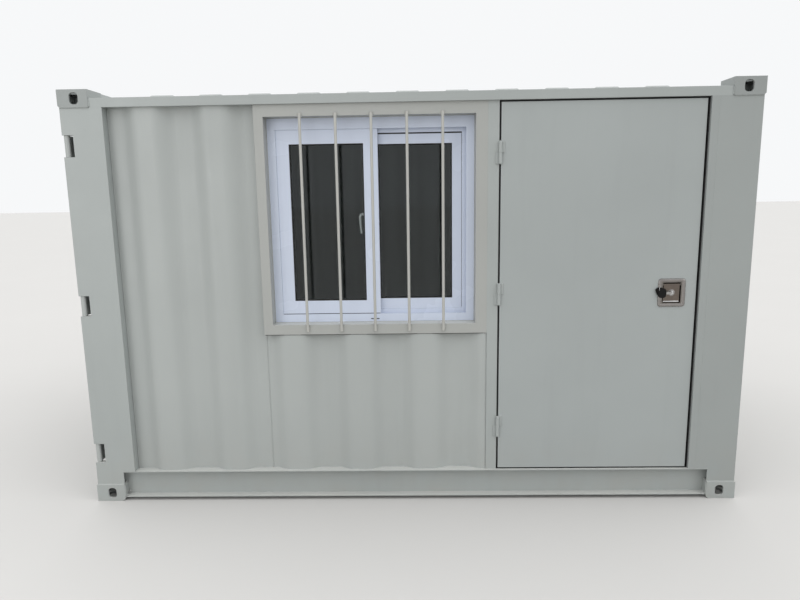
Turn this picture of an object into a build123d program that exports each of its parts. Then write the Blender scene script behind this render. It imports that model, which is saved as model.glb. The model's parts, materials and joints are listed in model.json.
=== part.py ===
from build123d import *
import os

# Overall size over the corner castings, in millimetres.
# Origin at the middle of the footprint on the ground, +X right along the front, +Y to the back, +Z up.
length = 3500.0
depth = 2200.0
height = 2200.0

# How far a cut runs past the face that it opens
cut_past = 1.0

# Corner castings
casting_width = 154.0
casting_depth = 150.0
top_casting_height = 88.0
bottom_casting_height = 95.0
casting_wall = 11.0
casting_chamfer = 9.0
bottom_casting_rounding = 18.0
side_hole_width = 45.0
side_hole_height = 57.0
side_hole_radius = 18.0
side_hole_from_end = 84.0
lift_hole_length = 100.0
lift_hole_width = 52.0
lift_hole_radius = 24.0

# Corner posts, folded from plate
post_recess = 5.0
post_plate = 5.0
post_face_width = 214.0
post_side_width = 145.0
post_return = 50.0
door_end_setback = 52.0

# Top rails and the header over the end doors
rail_recess = 6.0
top_rail_height = 45.0
top_rail_depth = 60.0
rail_wall = 4.0
header_recess = 30.0
header_depth = 120.0
header_drop = 2.0

# Bottom rails, channels with their flanges turned outward
bottom_rail_ground_gap = 20.0
bottom_rail_height = 150.0
bottom_rail_flange = 45.0
bottom_rail_wall = 5.0
bottom_rail_lap = 45.0

# Corrugated wall sheets
sheet = 2.0
crest_recess = 22.0
wave_depth = 36.0
wave_pitch = 350.0
wave_flat = 110.0
wave_bend_radius = 85.0
first_crest = 425.0

# Roof sheet with pressed ridges across it
roof_edge_inset = 10.0
roof_ridge_pitch = 252.0
roof_ridges = 11
roof_ridge_width = 150.0
roof_ridge_height = 19.0
roof_ridge_end_inset = 70.0
roof_ridge_taper = 48.0

# Floor
floor_board = 21.0
floor_edge_gap = 2.0
cross_member_height = 95.0
cross_member_flange = 45.0
cross_member_wall = 4.0
cross_member_end_gap = 15.0
cross_members = 10

# Plane of the door leaf, window surround and door frame, behind the casting faces
face_recess = 18.0

# Window surround
surround_left = 975.0
surround_bottom = 933.0
surround_side_width = 48.0
surround_right_width = 60.0
surround_top_width = 60.0
surround_bottom_width = 52.0
surround_plate = 3.0
surround_outer_depth = 44.0
window_width = 1068.0
window_recess = 72.0

# Sliding plastic window, depths counted back from the front of its frame
window_fit = 0.5
frame_head = 15.0
frame_front_lip = 43.0
frame_front_track = 35.0
frame_rear_lip = 63.0
frame_rear_track = 39.0
lip_thickness = 5.0
track_width = 25.0
sash_thickness = 23.0
sash_stile = 74.0
sash_rail = 80.0
sash_overlap = 74.0
glass_thickness = 6.0
glass_bite = 9.0
glass_fit = 0.2
handle_level = 1509.0
handle_height = 112.0
handle_width = 24.0
handle_thickness = 14.0
handle_corner = 8.0
handle_reach = 31.0
handle_stand_off = 22.0
handle_arm_height = 22.0
handle_arm_thickness = 12.0
handle_base_width = 30.0
handle_base_height = 66.0
handle_base_thickness = 8.0

# Door frame
door_post_width = 56.0
door_frame_depth = 80.0
door_frame_wall = 4.0
door_jamb_width = 38.0
door_stop_width = 26.0
door_stop_gap = 5.0

# Front door leaf
hinge_gap = 10.0
lock_gap = 14.0
head_gap = 9.0
sill_gap = 8.0
leaf_thickness = 40.0
leaf_sheet = 2.0
leaf_back_flange = 30.0

# Weld-on barrel hinges of the front door
hinge_axis_recess = 9.0
hinge_radius = 9.0
hinge_pin_radius = 5.5
hinge_pin_fit = 0.05
hinge_length = 110.0
hinge_washer = 1.0
hinge_leg_width = 23.0
hinge_leg = 4.0
hinge_cap = 6.0
hinge_pin_end_gap = 2.0
hinge_from_foot = 239.0
hinge_from_head = 245.0

# Recessed paddle latch
latch_from_lock_edge = 125.0
latch_level = 1135.0
latch_width = 140.0
latch_height = 148.0
latch_corner = 16.0
latch_flange = 3.0
latch_bevel = 2.1
dish_width = 98.0
dish_height = 112.0
dish_corner = 8.0
dish_depth = 22.0
dish_wall = 2.0
paddle_gap = 6.0
paddle_set_back = 1.0
paddle_plate = 3.0
paddle_pin_radius = 3.0
paddle_pin_fit = 0.05
paddle_knuckle_radius = 5.5
paddle_lug = 4.0
paddle_lug_rim = 2.0
paddle_end_gap = 1.0
lock_radius = 11.0
lock_front = 3.0
lock_back = 8.0
key_shank_radius = 3.5
key_shank_length = 13.0
key_fit = 0.3
key_thickness = 5.0
key_eye_rim = 3.0
key_reach = 52.0
key_bow_width = 40.0
key_bow_height = 50.0
key_bow_corner = 14.0

# End doors with their hinges and lock rods
end_leaf_recess = 28.0
end_leaf_thickness = 40.0
end_leaf_gap = 10.0
end_leaf_flange = 50.0
end_leaf_plate = 3.0
end_wave_pitch = 250.0
end_wave_flat = 80.0
end_wave_depth = 24.0
end_wave_radius = 40.0
end_wave_lap = 12.0
end_hinge_from_foot = 101.0
end_hinge_from_head = 179.0
end_notch_width = 56.0
end_notch_height = 108.0
end_notch_depth = 62.0
end_barrel_radius = 14.0
end_barrel_inset = 21.0
end_barrel_set_back = 3.0
end_pin_radius = 7.0
end_pin_fit = 0.3
end_barrel_gap = 1.0
end_lug = 10.0
end_lug_rim = 6.0
blade_plate = 8.0
blade_reach = 90.0
rod_radius = 10.0
rod_fit = 0.3
rod_stand_off = 2.0
bracket_plate = 5.0
bracket_height = 50.0
bracket_from_end = 350.0
keeper_height = 34.0
keeper_width = 70.0
keeper_set_back = 20.0
keeper_front = 13.0
rod_handle_length = 420.0
rod_handle_plate = 8.0
rod_handle_height = 34.0
rod_handle_level = 1010.0

# Places that follow from the values above
left = -length / 2
right = length / 2
front = -depth / 2
back = depth / 2
post_bottom = bottom_casting_height
post_top = height - top_casting_height
sill_top = bottom_rail_ground_gap + bottom_rail_height
post_inner_left = left + post_recess + post_face_width
post_inner_right = -post_inner_left
post_side_end = post_recess + post_side_width
face = front + face_recess
web_front = front + post_recess + bottom_rail_flange

surround_x0 = left + surround_left
surround_x1 = surround_x0 + surround_side_width + window_width + surround_right_width
window_x0 = surround_x0 + surround_side_width
window_x1 = window_x0 + window_width
window_z0 = surround_bottom + surround_bottom_width
window_z1 = post_top - surround_top_width
window_head = window_z1 - frame_head
window_front = face + window_recess
window_depth = 3 * lip_thickness + 2 * track_width
sash_left_x0 = window_x0 + 2 * window_fit + frame_front_track
sash_right_x1 = window_x1 - 2 * window_fit - frame_rear_track
sash_width = (sash_right_x1 - sash_left_x0 + sash_overlap) / 2
sash_left_x1 = sash_left_x0 + sash_width
sash_right_x0 = sash_right_x1 - sash_width
sash_front_y = window_front + lip_thickness + (track_width - sash_thickness) / 2
sash_rear_y = sash_front_y + track_width + lip_thickness

door_post_x1 = surround_x1 + door_post_width
hinge_x = door_post_x1 + hinge_gap / 2
hinge_y = front + hinge_axis_recess
jamb_x0 = post_inner_right - door_jamb_width
leaf_x0 = door_post_x1 + hinge_gap
leaf_x1 = jamb_x0 - lock_gap
leaf_z0 = sill_top + sill_gap
leaf_z1 = post_top - head_gap
leaf_back = face + leaf_thickness
hinge_low = leaf_z0 + hinge_from_foot
hinge_high = leaf_z1 - hinge_from_head

end_leaf_y0 = front + post_side_end + end_leaf_gap
end_leaf_y1 = -end_leaf_gap / 2
end_leaf_middle = (end_leaf_y0 + end_leaf_y1) / 2
end_pin_x = left + end_barrel_inset
end_pin_y = front + post_recess + end_barrel_set_back + end_barrel_radius
end_hinge_low = leaf_z0 + end_hinge_from_foot
end_hinge_high = leaf_z1 - end_hinge_from_head
rod_x = left + end_leaf_recess - rod_radius - rod_stand_off
rod_y = end_leaf_middle + end_wave_pitch

latch_x = leaf_x1 - latch_from_lock_edge
paddle_width = dish_width - 2 * dish_wall - 2 * paddle_gap
paddle_axis_y = face + paddle_set_back + paddle_knuckle_radius
paddle_axis_z = latch_level + dish_height / 2 - dish_wall - paddle_gap - paddle_knuckle_radius
paddle_front = paddle_axis_y - paddle_knuckle_radius


def block(x0, x1, y0, y1, z0, z1):
    middle = Pos((x0 + x1) / 2, (y0 + y1) / 2, (z0 + z1) / 2)
    return middle * Box(x1 - x0, y1 - y0, z1 - z0)


def upright(x, y, radius, z0, z1):
    return Pos(x, y, (z0 + z1) / 2) * Cylinder(radius, z1 - z0)


def across(x0, x1, y, z, radius):
    return Pos((x0 + x1) / 2, y, z) * Rot(0, 90, 0) * Cylinder(radius, x1 - x0)


def front_to_rear(x, z, y0, y1, radius):
    return Pos(x, (y0 + y1) / 2, z) * Rot(90, 0, 0) * Cylinder(radius, y1 - y0)


def three_levels(low, high):
    return [low, (low + high) / 2, high]


def plate_facing_front(x, y0, y1, z, width, tall, radius):
    outline = Plane.XZ * RectangleRounded(width, tall, radius)
    return Pos(x, y1, z) * extrude(outline, amount=y1 - y0)


def side_to_side(part):
    return mirror(part, about=Plane.YZ)


def front_to_back(part):
    return mirror(part, about=Plane.XZ)


def save(part, name):
    solids = part.solids()
    shape = solids[0] if len(solids) == 1 else Compound(children=list(solids))
    export_step(shape, f"parts/{name}.step")


# Corner castings


def casting_block(tall, z0):
    return block(left, left + casting_width, front, front + casting_depth, z0, z0 + tall)


def lowest_edges(body):
    """The two edges under the body that run from front to rear, the left one first."""
    return body.edges().filter_by(Axis.Y).group_by(Axis.Z)[0].sort_by(Axis.X)


def bottom_casting():
    body = casting_block(bottom_casting_height, 0.0)
    body = fillet(lowest_edges(body)[1], bottom_casting_rounding)
    return hollow_casting(body, bottom_casting_height, 0.0, 0.0)


def top_casting():
    z0 = height - top_casting_height
    body = casting_block(top_casting_height, z0)
    body = chamfer(lowest_edges(body)[0], casting_chamfer)
    return hollow_casting(body, top_casting_height, z0, height)


def hollow_casting(body, tall, z0, lift_face_z):
    x0, y0 = left, front
    w = casting_wall
    body -= block(x0 + w, x0 + casting_width - w, y0 + w, y0 + casting_depth - w, z0 + w, z0 + tall - w)
    middle_z = z0 + tall / 2
    hole_x = x0 + side_hole_from_end
    body -= plate_facing_front(hole_x, y0 - cut_past, y0 + w + cut_past, middle_z,
                               side_hole_width, side_hole_height, side_hole_radius)
    reach = w + cut_past
    middle_y = y0 + casting_depth / 2
    end_outline = Plane.YZ * RectangleRounded(side_hole_width, side_hole_height, side_hole_radius)
    body -= Pos(x0, middle_y, middle_z) * extrude(end_outline, amount=reach, both=True)
    lift_outline = RectangleRounded(lift_hole_length, lift_hole_width, lift_hole_radius)
    lift_hole = extrude(lift_outline, amount=reach, both=True)
    return body - Pos(x0 + casting_width / 2, middle_y, lift_face_z) * lift_hole


# Corner posts


def post_sections(setback):
    p, r, t = post_plate, post_return, post_recess
    x0, y0 = left + t, front + t
    side_x = left + max(setback, t)
    z0, z1 = post_bottom, post_top
    front_plate = block(x0, post_inner_left, y0, y0 + p, z0, z1)
    inner_return = block(post_inner_left - p, post_inner_left, y0, y0 + r, z0, z1)
    side_plate = block(side_x, side_x + p, y0, front + post_side_end, z0, z1)
    side_return = block(side_x, side_x + r, front + post_side_end - p, front + post_side_end, z0, z1)
    foot_cut = block(left + casting_width, post_inner_left + p, front, y0 + r + p, z0 - p, sill_top)
    return front_plate + inner_return + side_plate + side_return - foot_cut


def plain_post():
    return post_sections(0.0)


def hinge_post():
    post = post_sections(door_end_setback)
    rim = end_pin_radius + end_lug_rim
    half = end_notch_height / 2
    for level in three_levels(end_hinge_low, end_hinge_high):
        notch_x1 = left + post_recess + end_notch_width
        post -= block(left, notch_x1, front, front + end_notch_depth, level - half, level + half)
        for low in (level - half - end_lug, level + half):
            post += block(end_pin_x - rim, left + door_end_setback, front + post_recess, end_pin_y + rim,
                          low, low + end_lug)
        post += upright(end_pin_x, end_pin_y, end_pin_radius, level - half, level + half)
    return post


# Rails


def tube_along_x(x0, x1, y0, y1, z0, z1, wall):
    outer = block(x0, x1, y0, y1, z0, z1)
    return outer - block(x0 - cut_past, x1 + cut_past, y0 + wall, y1 - wall, z0 + wall, z1 - wall)


def tube_along_y(x0, x1, y0, y1, z0, z1, wall):
    outer = block(x0, x1, y0, y1, z0, z1)
    return outer - block(x0 + wall, x1 - wall, y0 - cut_past, y1 + cut_past, z0 + wall, z1 - wall)


def top_rail_front():
    y0 = front + rail_recess
    return tube_along_x(left + casting_width, right - casting_width, y0, y0 + top_rail_depth,
                        post_top, post_top + top_rail_height, rail_wall)


def top_rail_right():
    x1 = right - rail_recess
    return tube_along_y(x1 - top_rail_depth, x1, front + casting_depth, back - casting_depth,
                        post_top, post_top + top_rail_height, rail_wall)


def end_header():
    x0 = left + header_recess
    header = tube_along_y(x0, x0 + header_depth, front + casting_depth, back - casting_depth,
                          post_top, height - header_drop, rail_wall)
    for y in (rod_y, -rod_y):
        header += keeper(y, post_top + keeper_set_back)
    return header


def channel_along_x(x0, x1, flange_y, web_y):
    z0, z1, t = bottom_rail_ground_gap, sill_top, bottom_rail_wall
    web = block(x0, x1, web_y, web_y + t, z0, z1)
    low = block(x0, x1, flange_y, web_y + t, z0, z0 + t)
    high = block(x0, x1, flange_y, web_y + t, z1 - t, z1)
    return web + low + high


def bottom_rail_front():
    x0, x1 = left + casting_width, right - casting_width
    rail = channel_along_x(x0, x1, front + post_recess, web_front)
    # The web runs on over the castings, behind the feet of the posts
    return rail + block(x0 - bottom_rail_lap, x1 + bottom_rail_lap, web_front, web_front + bottom_rail_wall,
                        post_bottom, sill_top)


def bottom_rail_right():
    z0, z1, t = bottom_rail_ground_gap, sill_top, bottom_rail_wall
    x1 = right - post_recess
    web_x = x1 - bottom_rail_flange
    y0, y1 = front + casting_depth, back - casting_depth
    web = block(web_x - t, web_x, y0, y1, z0, z1)
    low = block(web_x - t, x1, y0, y1, z0, z0 + t)
    high = block(web_x - t, x1, y0, y1, z1 - t, z1)
    return web + low + high


def end_sill():
    z0, z1, t = bottom_rail_ground_gap, sill_top, bottom_rail_wall
    x0 = left + header_recess
    x1 = x0 + bottom_rail_flange + end_leaf_thickness
    y0, y1 = front + casting_depth, back - casting_depth
    sill = block(x0, x1, y0, y1, z1 - t, z1)
    sill += block(x0, x0 + t, y0, y1, z0, z1)
    sill += block(x0, x0 + bottom_rail_flange, y0, y1, z0, z0 + t)
    for y in (rod_y, -rod_y):
        sill += keeper(y, z1 - keeper_set_back - keeper_height)
    return sill


# Floor


def floor_cross_members():
    y0 = web_front + bottom_rail_wall
    z1 = sill_top - floor_board
    z0 = z1 - cross_member_height
    t, f = cross_member_wall, cross_member_flange
    first = left + casting_width + cross_member_end_gap
    last = right - casting_width - cross_member_end_gap - f
    pitch = (last - first) / (cross_members - 1)
    members = []
    for i in range(cross_members):
        x = first + i * pitch
        member = block(x, x + t, y0, -y0, z0, z1)
        member += block(x, x + f, y0, -y0, z1 - t, z1)
        member += block(x, x + f, y0, -y0, z0, z0 + t)
        members.append(member.solids()[0])
    return Compound(children=members)


def floor_panel():
    x0 = left + header_recess + bottom_rail_flange + end_leaf_thickness + floor_edge_gap
    x1 = right - post_recess - bottom_rail_flange - bottom_rail_wall - floor_edge_gap
    y0 = web_front + bottom_rail_wall + floor_edge_gap
    return block(x0, x1, y0, -y0, sill_top - floor_board, sill_top)


# Corrugated sheets


def wave_outline(x0, x1, crest, pitch, flat, deep, bend, thickness):
    slope = (pitch - 2 * flat) / 2
    steps = range(int((x0 - crest) // pitch) - 1, int((x1 - crest) // pitch) + 2)
    shift = thickness * ((slope ** 2 + deep ** 2) ** 0.5 - slope) / deep
    near, far = [], []
    for i in steps:
        middle = crest + i * pitch
        for side, at_crest in ((-1, False), (-1, True), (1, True), (1, False)):
            reach = flat / 2 if at_crest else flat / 2 + slope
            y = 0.0 if at_crest else deep
            near.append((middle + side * reach, y))
            far.append((middle + side * (reach - shift), y + thickness))
    near_line = FilletPolyline(*near, radius=bend)
    far_line = FilletPolyline(*far, radius=bend)
    closing = [Line(near[0], far[0]), Line(near[-1], far[-1])]
    return make_face(Wire([*near_line.edges(), closing[0], *far_line.edges(), closing[1]]).edges())


def corrugated(x0, x1, crest, z0, z1, pitch=wave_pitch, flat=wave_flat, deep=wave_depth,
               bend=wave_bend_radius, thickness=sheet):
    outline = wave_outline(x0, x1, crest, pitch, flat, deep, bend, thickness)
    wall = Pos(0, 0, z0) * extrude(outline, amount=z1 - z0)
    return wall & block(x0, x1, -pitch, pitch, z0 - cut_past, z1 + cut_past)


def front_panel(x0, x1, z1):
    sheet_wall = corrugated(x0, x1, left + first_crest, sill_top, z1)
    return Pos(0, front + crest_recess, 0) * sheet_wall


def back_panel():
    wall = corrugated(post_inner_left, post_inner_right, 0.0, sill_top, post_top)
    return Pos(0, back - crest_recess, 0) * Rot(0, 0, 180) * wall


def right_panel():
    half = back - post_side_end
    wall = corrugated(-half, half, 0.0, sill_top, post_top)
    return Pos(right - crest_recess, 0, 0) * Rot(0, 0, 90) * wall


# Roof


def roof_ridge(x, grow, z0):
    width = roof_ridge_width - 2 * grow
    run = depth - 2 * (rail_recess + roof_edge_inset + roof_ridge_end_inset) - 2 * grow
    ridge = extrude(Rectangle(width, run), amount=roof_ridge_height, taper=roof_ridge_taper)
    return Pos(x, 0, z0) * ridge


def roof():
    z0 = post_top + top_rail_height
    x0 = left + header_recess + header_depth
    x1 = right - rail_recess - roof_edge_inset
    y0 = front + rail_recess + roof_edge_inset
    skin = block(x0, x1, y0, -y0, z0, z0 + sheet)
    first = -roof_ridge_pitch * (roof_ridges - 1) / 2
    places = [first + i * roof_ridge_pitch for i in range(roof_ridges)]
    for x in places:
        skin += roof_ridge(x, 0.0, z0 + sheet)
    for x in places:
        skin -= roof_ridge(x, sheet, z0)
        skin -= block(x - roof_ridge_width / 2 + sheet, x + roof_ridge_width / 2 - sheet,
                      y0 + roof_ridge_end_inset + sheet, -y0 - roof_ridge_end_inset - sheet,
                      z0 - cut_past, z0)
    for y in (front, back - casting_depth):
        skin -= block(left, left + casting_width, y, y + casting_depth, z0 - cut_past, height)
        skin -= block(right - casting_width, right, y, y + casting_depth, z0 - cut_past, height)
    return skin


# Window


def ring(x0, x1, z0, z1, side, rail, y0, y1):
    outer = block(x0, x1, y0, y1, z0, z1)
    return outer - block(x0 + side, x1 - side, y0 - cut_past, y1 + cut_past, z0 + rail, z1 - rail)


def window_surround():
    x0, x1, z0, z1 = surround_x0, surround_x1, surround_bottom, post_top
    p = surround_plate
    reach = window_recess + window_depth
    ring_plate = block(x0, x1, face, face + p, z0, z1)
    ring_plate += block(x0, x1, face, face + surround_outer_depth, z0, z1)
    ring_plate -= block(x0 + p, x1 - p, face + p, back, z0 + p, z1 - p)
    ring_plate += block(window_x0 - p, window_x1 + p, face, face + reach, window_z0 - p, window_z1 + p)
    return ring_plate - block(window_x0, window_x1, face - cut_past, back, window_z0, window_z1)


def window_frame():
    x0, x1 = window_x0 + window_fit, window_x1 - window_fit
    z0, z1 = window_z0 + window_fit, window_head - window_fit
    sections = [
        (frame_front_lip, lip_thickness),
        (frame_front_track, track_width),
        (frame_rear_lip, lip_thickness),
        (frame_rear_track, track_width),
        (frame_rear_lip, lip_thickness),
    ]
    y = window_front
    frame = None
    for inset, thick in sections:
        layer = ring(x0, x1, z0, z1, inset, inset, y, y + thick)
        frame = layer if frame is None else frame + layer
        y += thick
    return frame + block(x0, x1, window_front, y, z1, z1 + frame_head)


def window_sash(x0, x1, track, y0):
    z0 = window_z0 + window_fit + track + window_fit
    z1 = window_head - window_fit - track - window_fit
    sash = ring(x0, x1, z0, z1, sash_stile, sash_rail, y0, y0 + sash_thickness)
    return sash - pane(x0, x1, track, y0, glass_fit)


def pane(x0, x1, track, y0, grow):
    z0 = window_z0 + 2 * window_fit + track + sash_rail
    z1 = window_head - 2 * window_fit - track - sash_rail
    y = y0 + sash_thickness / 2
    bite = glass_bite + grow
    half = glass_thickness / 2 + grow
    return block(x0 + sash_stile - bite, x1 - sash_stile + bite, y - half, y + half, z0 - bite, z1 + bite)


def window_glass():
    front_pane = pane(sash_left_x0, sash_left_x1, frame_front_track, sash_front_y, 0.0)
    rear_pane = pane(sash_right_x0, sash_right_x1, frame_rear_track, sash_rear_y, 0.0)
    return Compound(children=[front_pane.solids()[0], rear_pane.solids()[0]])


def window_handle():
    y0 = sash_rear_y + sash_thickness
    arm_y = y0 + handle_stand_off
    stile_middle = sash_right_x0 + sash_stile / 2
    grip_x = sash_right_x0 - handle_reach
    half = handle_arm_height / 2
    z0, z1 = handle_level - half, handle_level + half
    base = plate_facing_front(stile_middle, y0, y0 + handle_base_thickness, handle_level,
                              handle_base_width, handle_base_height, handle_corner)
    neck = block(stile_middle - half, stile_middle + half, y0, arm_y + handle_arm_thickness, z0, z1)
    arm = block(grip_x, stile_middle, arm_y, arm_y + handle_arm_thickness, z0, z1)
    grip = plate_facing_front(grip_x, arm_y, arm_y + handle_thickness, handle_level,
                              handle_width, handle_height, handle_corner)
    return base + neck + arm + grip


# Door frame


def door_post():
    x0, x1 = surround_x1, door_post_x1
    y1 = face + door_frame_depth
    w = door_frame_wall
    post = block(x0, x1, face, y1, sill_top, post_top)
    post -= block(x0 + w, x1 - w, face + w, y1 - w, sill_top - cut_past, post_top + cut_past)
    stop_y = leaf_back + leaf_sheet + door_stop_gap
    return post + block(x1 - w, x1 + door_stop_width, stop_y, stop_y + w, sill_top, post_top)


def door_jamb():
    x0, x1 = jamb_x0, post_inner_right
    y0, y1 = front + post_recess, face + door_frame_depth
    w = door_frame_wall
    jamb = block(x0, x1, y0, y1, sill_top, post_top)
    jamb -= block(x0 + w, x1 - w, y0 + w, y1 - w, sill_top - cut_past, post_top + cut_past)
    stop_y = leaf_back + leaf_sheet + door_stop_gap
    return jamb + block(x0 - door_stop_width, x0 + w, stop_y, stop_y + w, sill_top, post_top)


# Front door leaf


def door_leaf():
    s, f = leaf_sheet, leaf_back_flange
    leaf = block(leaf_x0, leaf_x1, face, leaf_back, leaf_z0, leaf_z1)
    leaf -= block(leaf_x0 + s, leaf_x1 - s, face + s, leaf_back - s, leaf_z0 + s, leaf_z1 - s)
    leaf -= block(leaf_x0 + f, leaf_x1 - f, leaf_back - 2 * s, leaf_back + s, leaf_z0 + f, leaf_z1 - f)
    hole_width = dish_width + 2 * key_fit
    hole_height = dish_height + 2 * key_fit
    return leaf - plate_facing_front(latch_x, face - s, face + 2 * s, latch_level,
                                     hole_width, hole_height, dish_corner)


def door_inner_sheet():
    return block(leaf_x0, leaf_x1, leaf_back, leaf_back + leaf_sheet, leaf_z0, leaf_z1)


def hinge_leg_block(x0, x1, z0, z1):
    return block(x0, x1, face - hinge_leg, face, z0, z1)


def door_hinge_frame_half(level):
    z0 = level - hinge_length / 2
    z1 = level - hinge_washer / 2
    half = upright(hinge_x, hinge_y, hinge_radius, z0, z1)
    half += hinge_leg_block(hinge_x - hinge_leg_width, hinge_x, z0, z1)
    pin_end = level + hinge_length / 2 - hinge_cap - hinge_pin_end_gap
    return half + upright(hinge_x, hinge_y, hinge_pin_radius, z1, pin_end)


def door_hinge_leaf_half(level):
    z0 = level + hinge_washer / 2
    z1 = level + hinge_length / 2
    half = upright(hinge_x, hinge_y, hinge_radius, z0, z1)
    half += hinge_leg_block(hinge_x, hinge_x + hinge_leg_width, z0, z1)
    bore = hinge_pin_radius + hinge_pin_fit
    return half - upright(hinge_x, hinge_y, bore, z0 - cut_past, z1 - hinge_cap)


def three_hinges(make_half):
    levels = three_levels(hinge_low, hinge_high)
    return Compound(children=[make_half(level).solids()[0] for level in levels])


# Paddle latch


def latch_dish():
    dish = plate_facing_front(latch_x, face - latch_flange, face, latch_level,
                              latch_width, latch_height, latch_corner)
    dish = chamfer(dish.faces().sort_by(Axis.Y)[0].edges(), latch_bevel)
    dish += plate_facing_front(latch_x, face - latch_flange, face + dish_depth, latch_level,
                               dish_width, dish_height, dish_corner)
    dish -= plate_facing_front(latch_x, face - 2 * latch_flange, face + dish_depth - dish_wall, latch_level,
                               dish_width - 2 * dish_wall, dish_height - 2 * dish_wall,
                               dish_corner - dish_wall)
    half = paddle_width / 2 + paddle_end_gap
    for side in (-1, 1):
        near, far = sorted((latch_x + side * half, latch_x + side * (half + paddle_lug)))
        dish += block(near, far, paddle_axis_y - paddle_pin_radius - paddle_lug_rim,
                      face + dish_depth - dish_wall,
                      paddle_axis_z - paddle_knuckle_radius, paddle_axis_z + paddle_knuckle_radius)
    return dish + across(latch_x - half, latch_x + half, paddle_axis_y, paddle_axis_z, paddle_pin_radius)


def latch_paddle():
    x0, x1 = latch_x - paddle_width / 2, latch_x + paddle_width / 2
    z0 = latch_level - dish_height / 2 + dish_wall + paddle_gap
    y1 = paddle_front + paddle_plate
    paddle = block(x0, x1, paddle_front, y1, z0, paddle_axis_z)
    paddle += across(x0, x1, paddle_axis_y, paddle_axis_z, paddle_knuckle_radius)
    paddle -= across(x0 - cut_past, x1 + cut_past, paddle_axis_y, paddle_axis_z,
                     paddle_pin_radius + paddle_pin_fit)
    return paddle - front_to_rear(latch_x, latch_level, paddle_front - cut_past, y1 + cut_past, lock_radius)


def lock_cylinder():
    y0 = paddle_front - lock_front
    y1 = paddle_front + paddle_plate + lock_back
    barrel = front_to_rear(latch_x, latch_level, y0, y1, lock_radius)
    return barrel + front_to_rear(latch_x, latch_level, y0 - key_shank_length, y0, key_shank_radius)


def key_bow():
    y1 = face - latch_flange - paddle_gap
    y0 = y1 - key_thickness
    eye = key_shank_radius + key_fit
    rim = eye + key_eye_rim
    bow_x = latch_x - key_reach
    key = plate_facing_front(bow_x, y0, y1, latch_level, key_bow_width, key_bow_height, key_bow_corner)
    key += block(bow_x, latch_x, y0, y1, latch_level - rim, latch_level + rim)
    key += front_to_rear(latch_x, latch_level, y0, y1, rim)
    return key - front_to_rear(latch_x, latch_level, y0 - cut_past, y1 + cut_past, eye)


# End doors


def keeper(y, z0):
    body = block(rod_x - keeper_front, left + header_recess, y - keeper_width / 2, y + keeper_width / 2,
                 z0, z0 + keeper_height)
    bore = rod_radius + rod_fit
    return body - upright(rod_x, y, bore, z0 - cut_past, z0 + keeper_height + cut_past)


def end_leaf():
    x0 = left + end_leaf_recess
    x1 = x0 + end_leaf_thickness
    y0, y1 = end_leaf_y0, end_leaf_y1
    z0, z1 = leaf_z0, leaf_z1
    p, f = end_leaf_plate, end_leaf_flange
    leaf = block(x0, x1, y0, y1, z0, z1)
    leaf -= block(x0 + p, x1 + p, y0 + p, y1 - p, z0 + p, z1 - p)
    leaf -= block(x0 - p, x1 + p, y0 + f, y1 - f, z0 + f, z1 - f)
    lap = f - end_wave_lap
    wave = corrugated(-(y1 - lap), -(y0 + lap), -end_leaf_middle, z0 + lap, z1 - lap,
                      end_wave_pitch, end_wave_flat, end_wave_depth, end_wave_radius)
    leaf += Pos(x0 + p, 0, 0) * Rot(0, 0, -90) * wave
    half = end_notch_height / 2 - end_barrel_gap
    for level in three_levels(end_hinge_low, end_hinge_high):
        leaf += block(x0 - blade_plate, x0, end_pin_y, y0 + blade_reach, level - half, level + half)
        leaf += upright(end_pin_x, end_pin_y, end_barrel_radius, level - half, level + half)
        leaf -= upright(end_pin_x, end_pin_y, end_pin_radius + end_pin_fit,
                        level - half - cut_past, level + half + cut_past)
    reach = rod_radius + bracket_plate
    for level in (leaf_z0 + bracket_from_end, rod_handle_level, leaf_z1 - bracket_from_end):
        bracket = block(rod_x - reach, x0 + p + sheet / 2, rod_y - reach, rod_y + reach,
                        level - bracket_height / 2, level + bracket_height / 2)
        leaf += bracket - upright(rod_x, rod_y, rod_radius + rod_fit, level - bracket_height,
                                  level + bracket_height)
    return leaf


def lock_rod():
    z0 = sill_top - keeper_set_back - keeper_height
    z1 = post_top + keeper_set_back + keeper_height
    rod = upright(rod_x, rod_y, rod_radius, z0, z1)
    grip_z = rod_handle_level + bracket_height
    grip = block(rod_x - rod_handle_plate / 2, rod_x + rod_handle_plate / 2,
                 rod_y - rod_handle_length, rod_y, grip_z, grip_z + rod_handle_height)
    return rod + grip


def lock_rods():
    rod = lock_rod()
    return Compound(children=[rod.solids()[0], front_to_back(rod).solids()[0]])


# Every piece by name


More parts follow.
